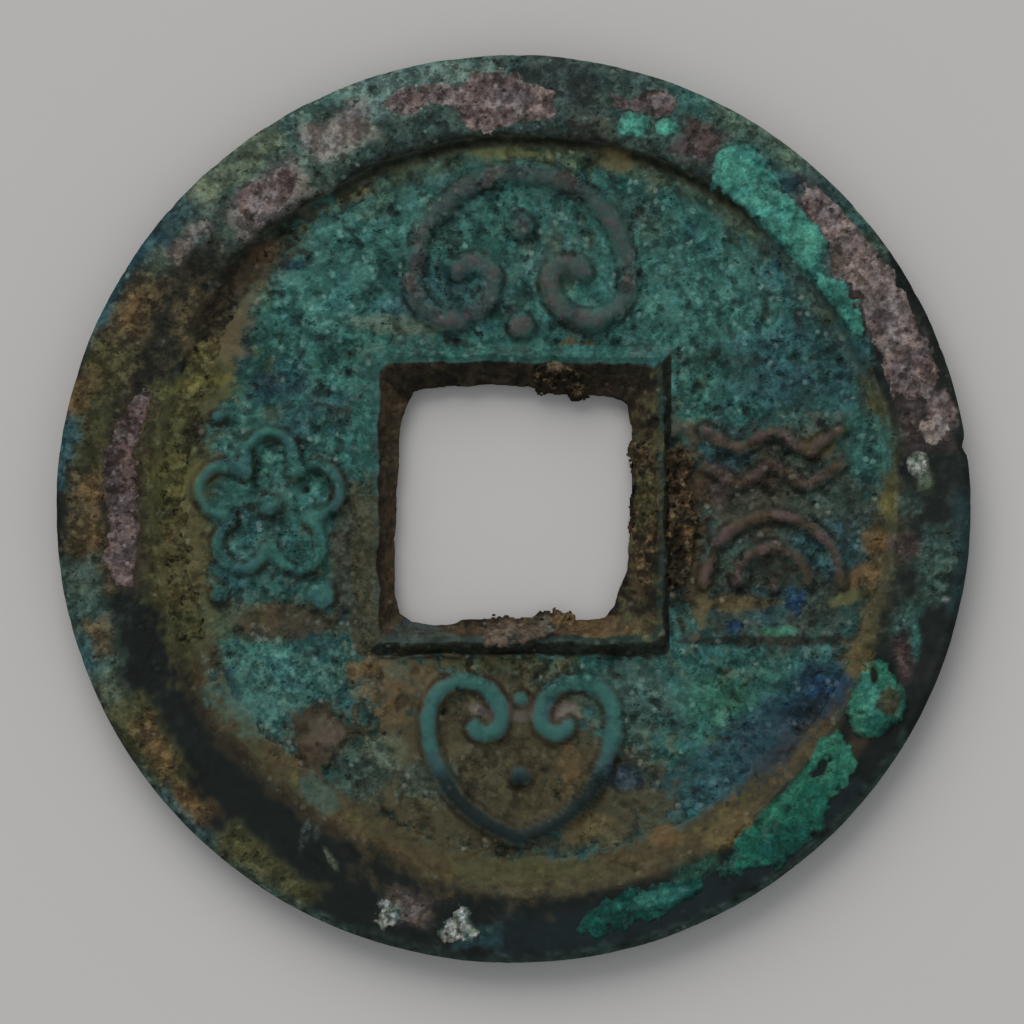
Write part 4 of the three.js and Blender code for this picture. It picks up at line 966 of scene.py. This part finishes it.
TAN = ((0.150, 0.105, 0.060), (0.050, 0.034, 0.020))
FLAKE_BROWN = ((0.080, 0.062, 0.045), (0.034, 0.026, 0.019))
CLOD_VEINS = [
    (RUST, 0.35, 0.0, 0.35, 0.8), (TAN, 0.16, 0.3, 0.55, 0.8), (DARK_BROWN, 0.3, 0.0, 0.35, 0.9),
]
FLAKE_VEINS = [(SLATE, 0.5, 0.1, 0.4, 0.6), (BROWN, 0.3, 0.1, 0.5, 0.7), (RUST, 0.4, 0.3, 0.6, 0.6)]
flake = corroded_finish("corroded_flake", 0.09, 0.4, 0.5, 0.8, 0.03)
HOLE_PIECES = [
    ("clods_on_top_edge", "earth_on_hole_edge", earth, "earth", DARK_BROWN, CLOD_VEINS, drawn_line(
        (532, 374), (540, 364), (552, 359), (566, 366), (580, 372), (593, 377), (591, 386),
        (584, 397), (573, 397), (566, 387), (556, 393), (544, 389), (534, 382)),
        (TAN, 556, 366, 10, 6, 0, 0.9), 0.20, 1.0),
    ("flake_on_bottom_edge", "flake_on_hole_edge", flake, "corroded_bronze", FLAKE_BROWN,
        FLAKE_VEINS, drawn_line(
            (484, 623), (502, 619), (520, 623), (536, 620), (548, 614), (566, 614), (569, 619),
            (560, 628), (550, 636), (532, 642), (514, 646), (498, 647), (484, 644)),
        (RUST, 560, 619, 10, 5, 0, 0.8), 0.13, 0.3),
    ("crust_on_right_edge", "crust_on_hole_edge", earth, "earth", BROWN, CLOD_VEINS, drawn_line(
        (634, 445), (648, 438), (656, 470), (658, 520), (655, 560), (648, 586), (637, 580),
        (633, 540), (635, 490)), (OLIVE, 645, 500, 14, 30, 0, 0.6), 0.06, 1.0),
    ("crust_beside_border", "crust_beside_hole", earth, "earth", BROWN, CLOD_VEINS, drawn_line(
        (666, 450), (680, 443), (693, 460), (690, 490), (697, 520), (693, 560), (684, 590),
        (671, 590), (667, 550), (671, 510), (665, 480)),
        (DARK_BROWN, 676, 560, 10, 26, 0, 0.9), 0.15, 1.2),
]
for number, (name, node, finish, slot, colour, veins, line, stain, thickness, lumpy) in enumerate(
        HOLE_PIECES):
    lay_crust(name, node, line, finish, colour, veins, 0.9, 800 + 30 * number,
              stains=(stain,), cell=0.03, thickness=thickness, skirt=0.14, tatter=0.15,
              lumps=lumpy)


# The camera, the lights and the floor
# The coin lies on a pale table. It is seen from straight above in soft daylight that comes from
# the top, a little from the left.

TABLE_HALF_WIDTH = 0.4
floor_mesh = bpy.data.meshes.new("table")
bm = bmesh.new()
bmesh.ops.create_grid(bm, x_segments=1, y_segments=1, size=TABLE_HALF_WIDTH)
bm.to_mesh(floor_mesh)
bm.free()
floor = bpy.data.objects.new("table", floor_mesh)
bpy.context.scene.collection.objects.link(floor)
floor_finish = bpy.data.materials.new("pale_table")
floor_finish.use_nodes = True
floor_shader = floor_finish.node_tree.nodes["Principled BSDF"]
floor_shader.inputs["Base Color"].default_value = (0.402, 0.392, 0.387, 1)
floor_shader.inputs["Roughness"].default_value = 0.95
floor_shader.inputs["Specular IOR Level"].default_value = 0.1
floor_mesh.materials.append(floor_finish)
floor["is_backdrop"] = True

world = bpy.data.worlds.new("daylight")
bpy.context.scene.world = world
world.use_nodes = True
world.node_tree.nodes["Background"].inputs["Color"].default_value = (0.95, 0.98, 1.0, 1)
world.node_tree.nodes["Background"].inputs["Strength"].default_value = 0.66

sun = bpy.data.lights.new("window", "SUN")
sun.energy = 2.35
sun.angle = math.radians(50)
sun.color = (1.0, 0.98, 0.95)
sun_object = bpy.data.objects.new("window", sun)
sun_object.rotation_euler = Vector((-0.26, 0.74, 0.62)).to_track_quat("Z", "Y").to_euler()
bpy.context.scene.collection.objects.link(sun_object)

CAMERA_HEIGHT = 0.2
SENSOR_WIDTH = 36
camera = bpy.data.cameras.new("camera")
camera.sensor_width = SENSOR_WIDTH
camera.lens = SENSOR_WIDTH * (CAMERA_HEIGHT - RIM_Z * MM) / (PICTURE_SIDE * MM_PER_PIXEL * MM)
camera.clip_start = 0.001
camera_object = bpy.data.objects.new("camera", camera)
middle = picture_place(PICTURE_SIDE / 2, PICTURE_SIDE / 2)
camera_object.location = (middle[0] * MM, middle[1] * MM, CAMERA_HEIGHT)
bpy.context.scene.collection.objects.link(camera_object)
bpy.context.scene.camera = camera_object

bpy.context.scene.view_settings.view_transform = "Standard"

low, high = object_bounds()
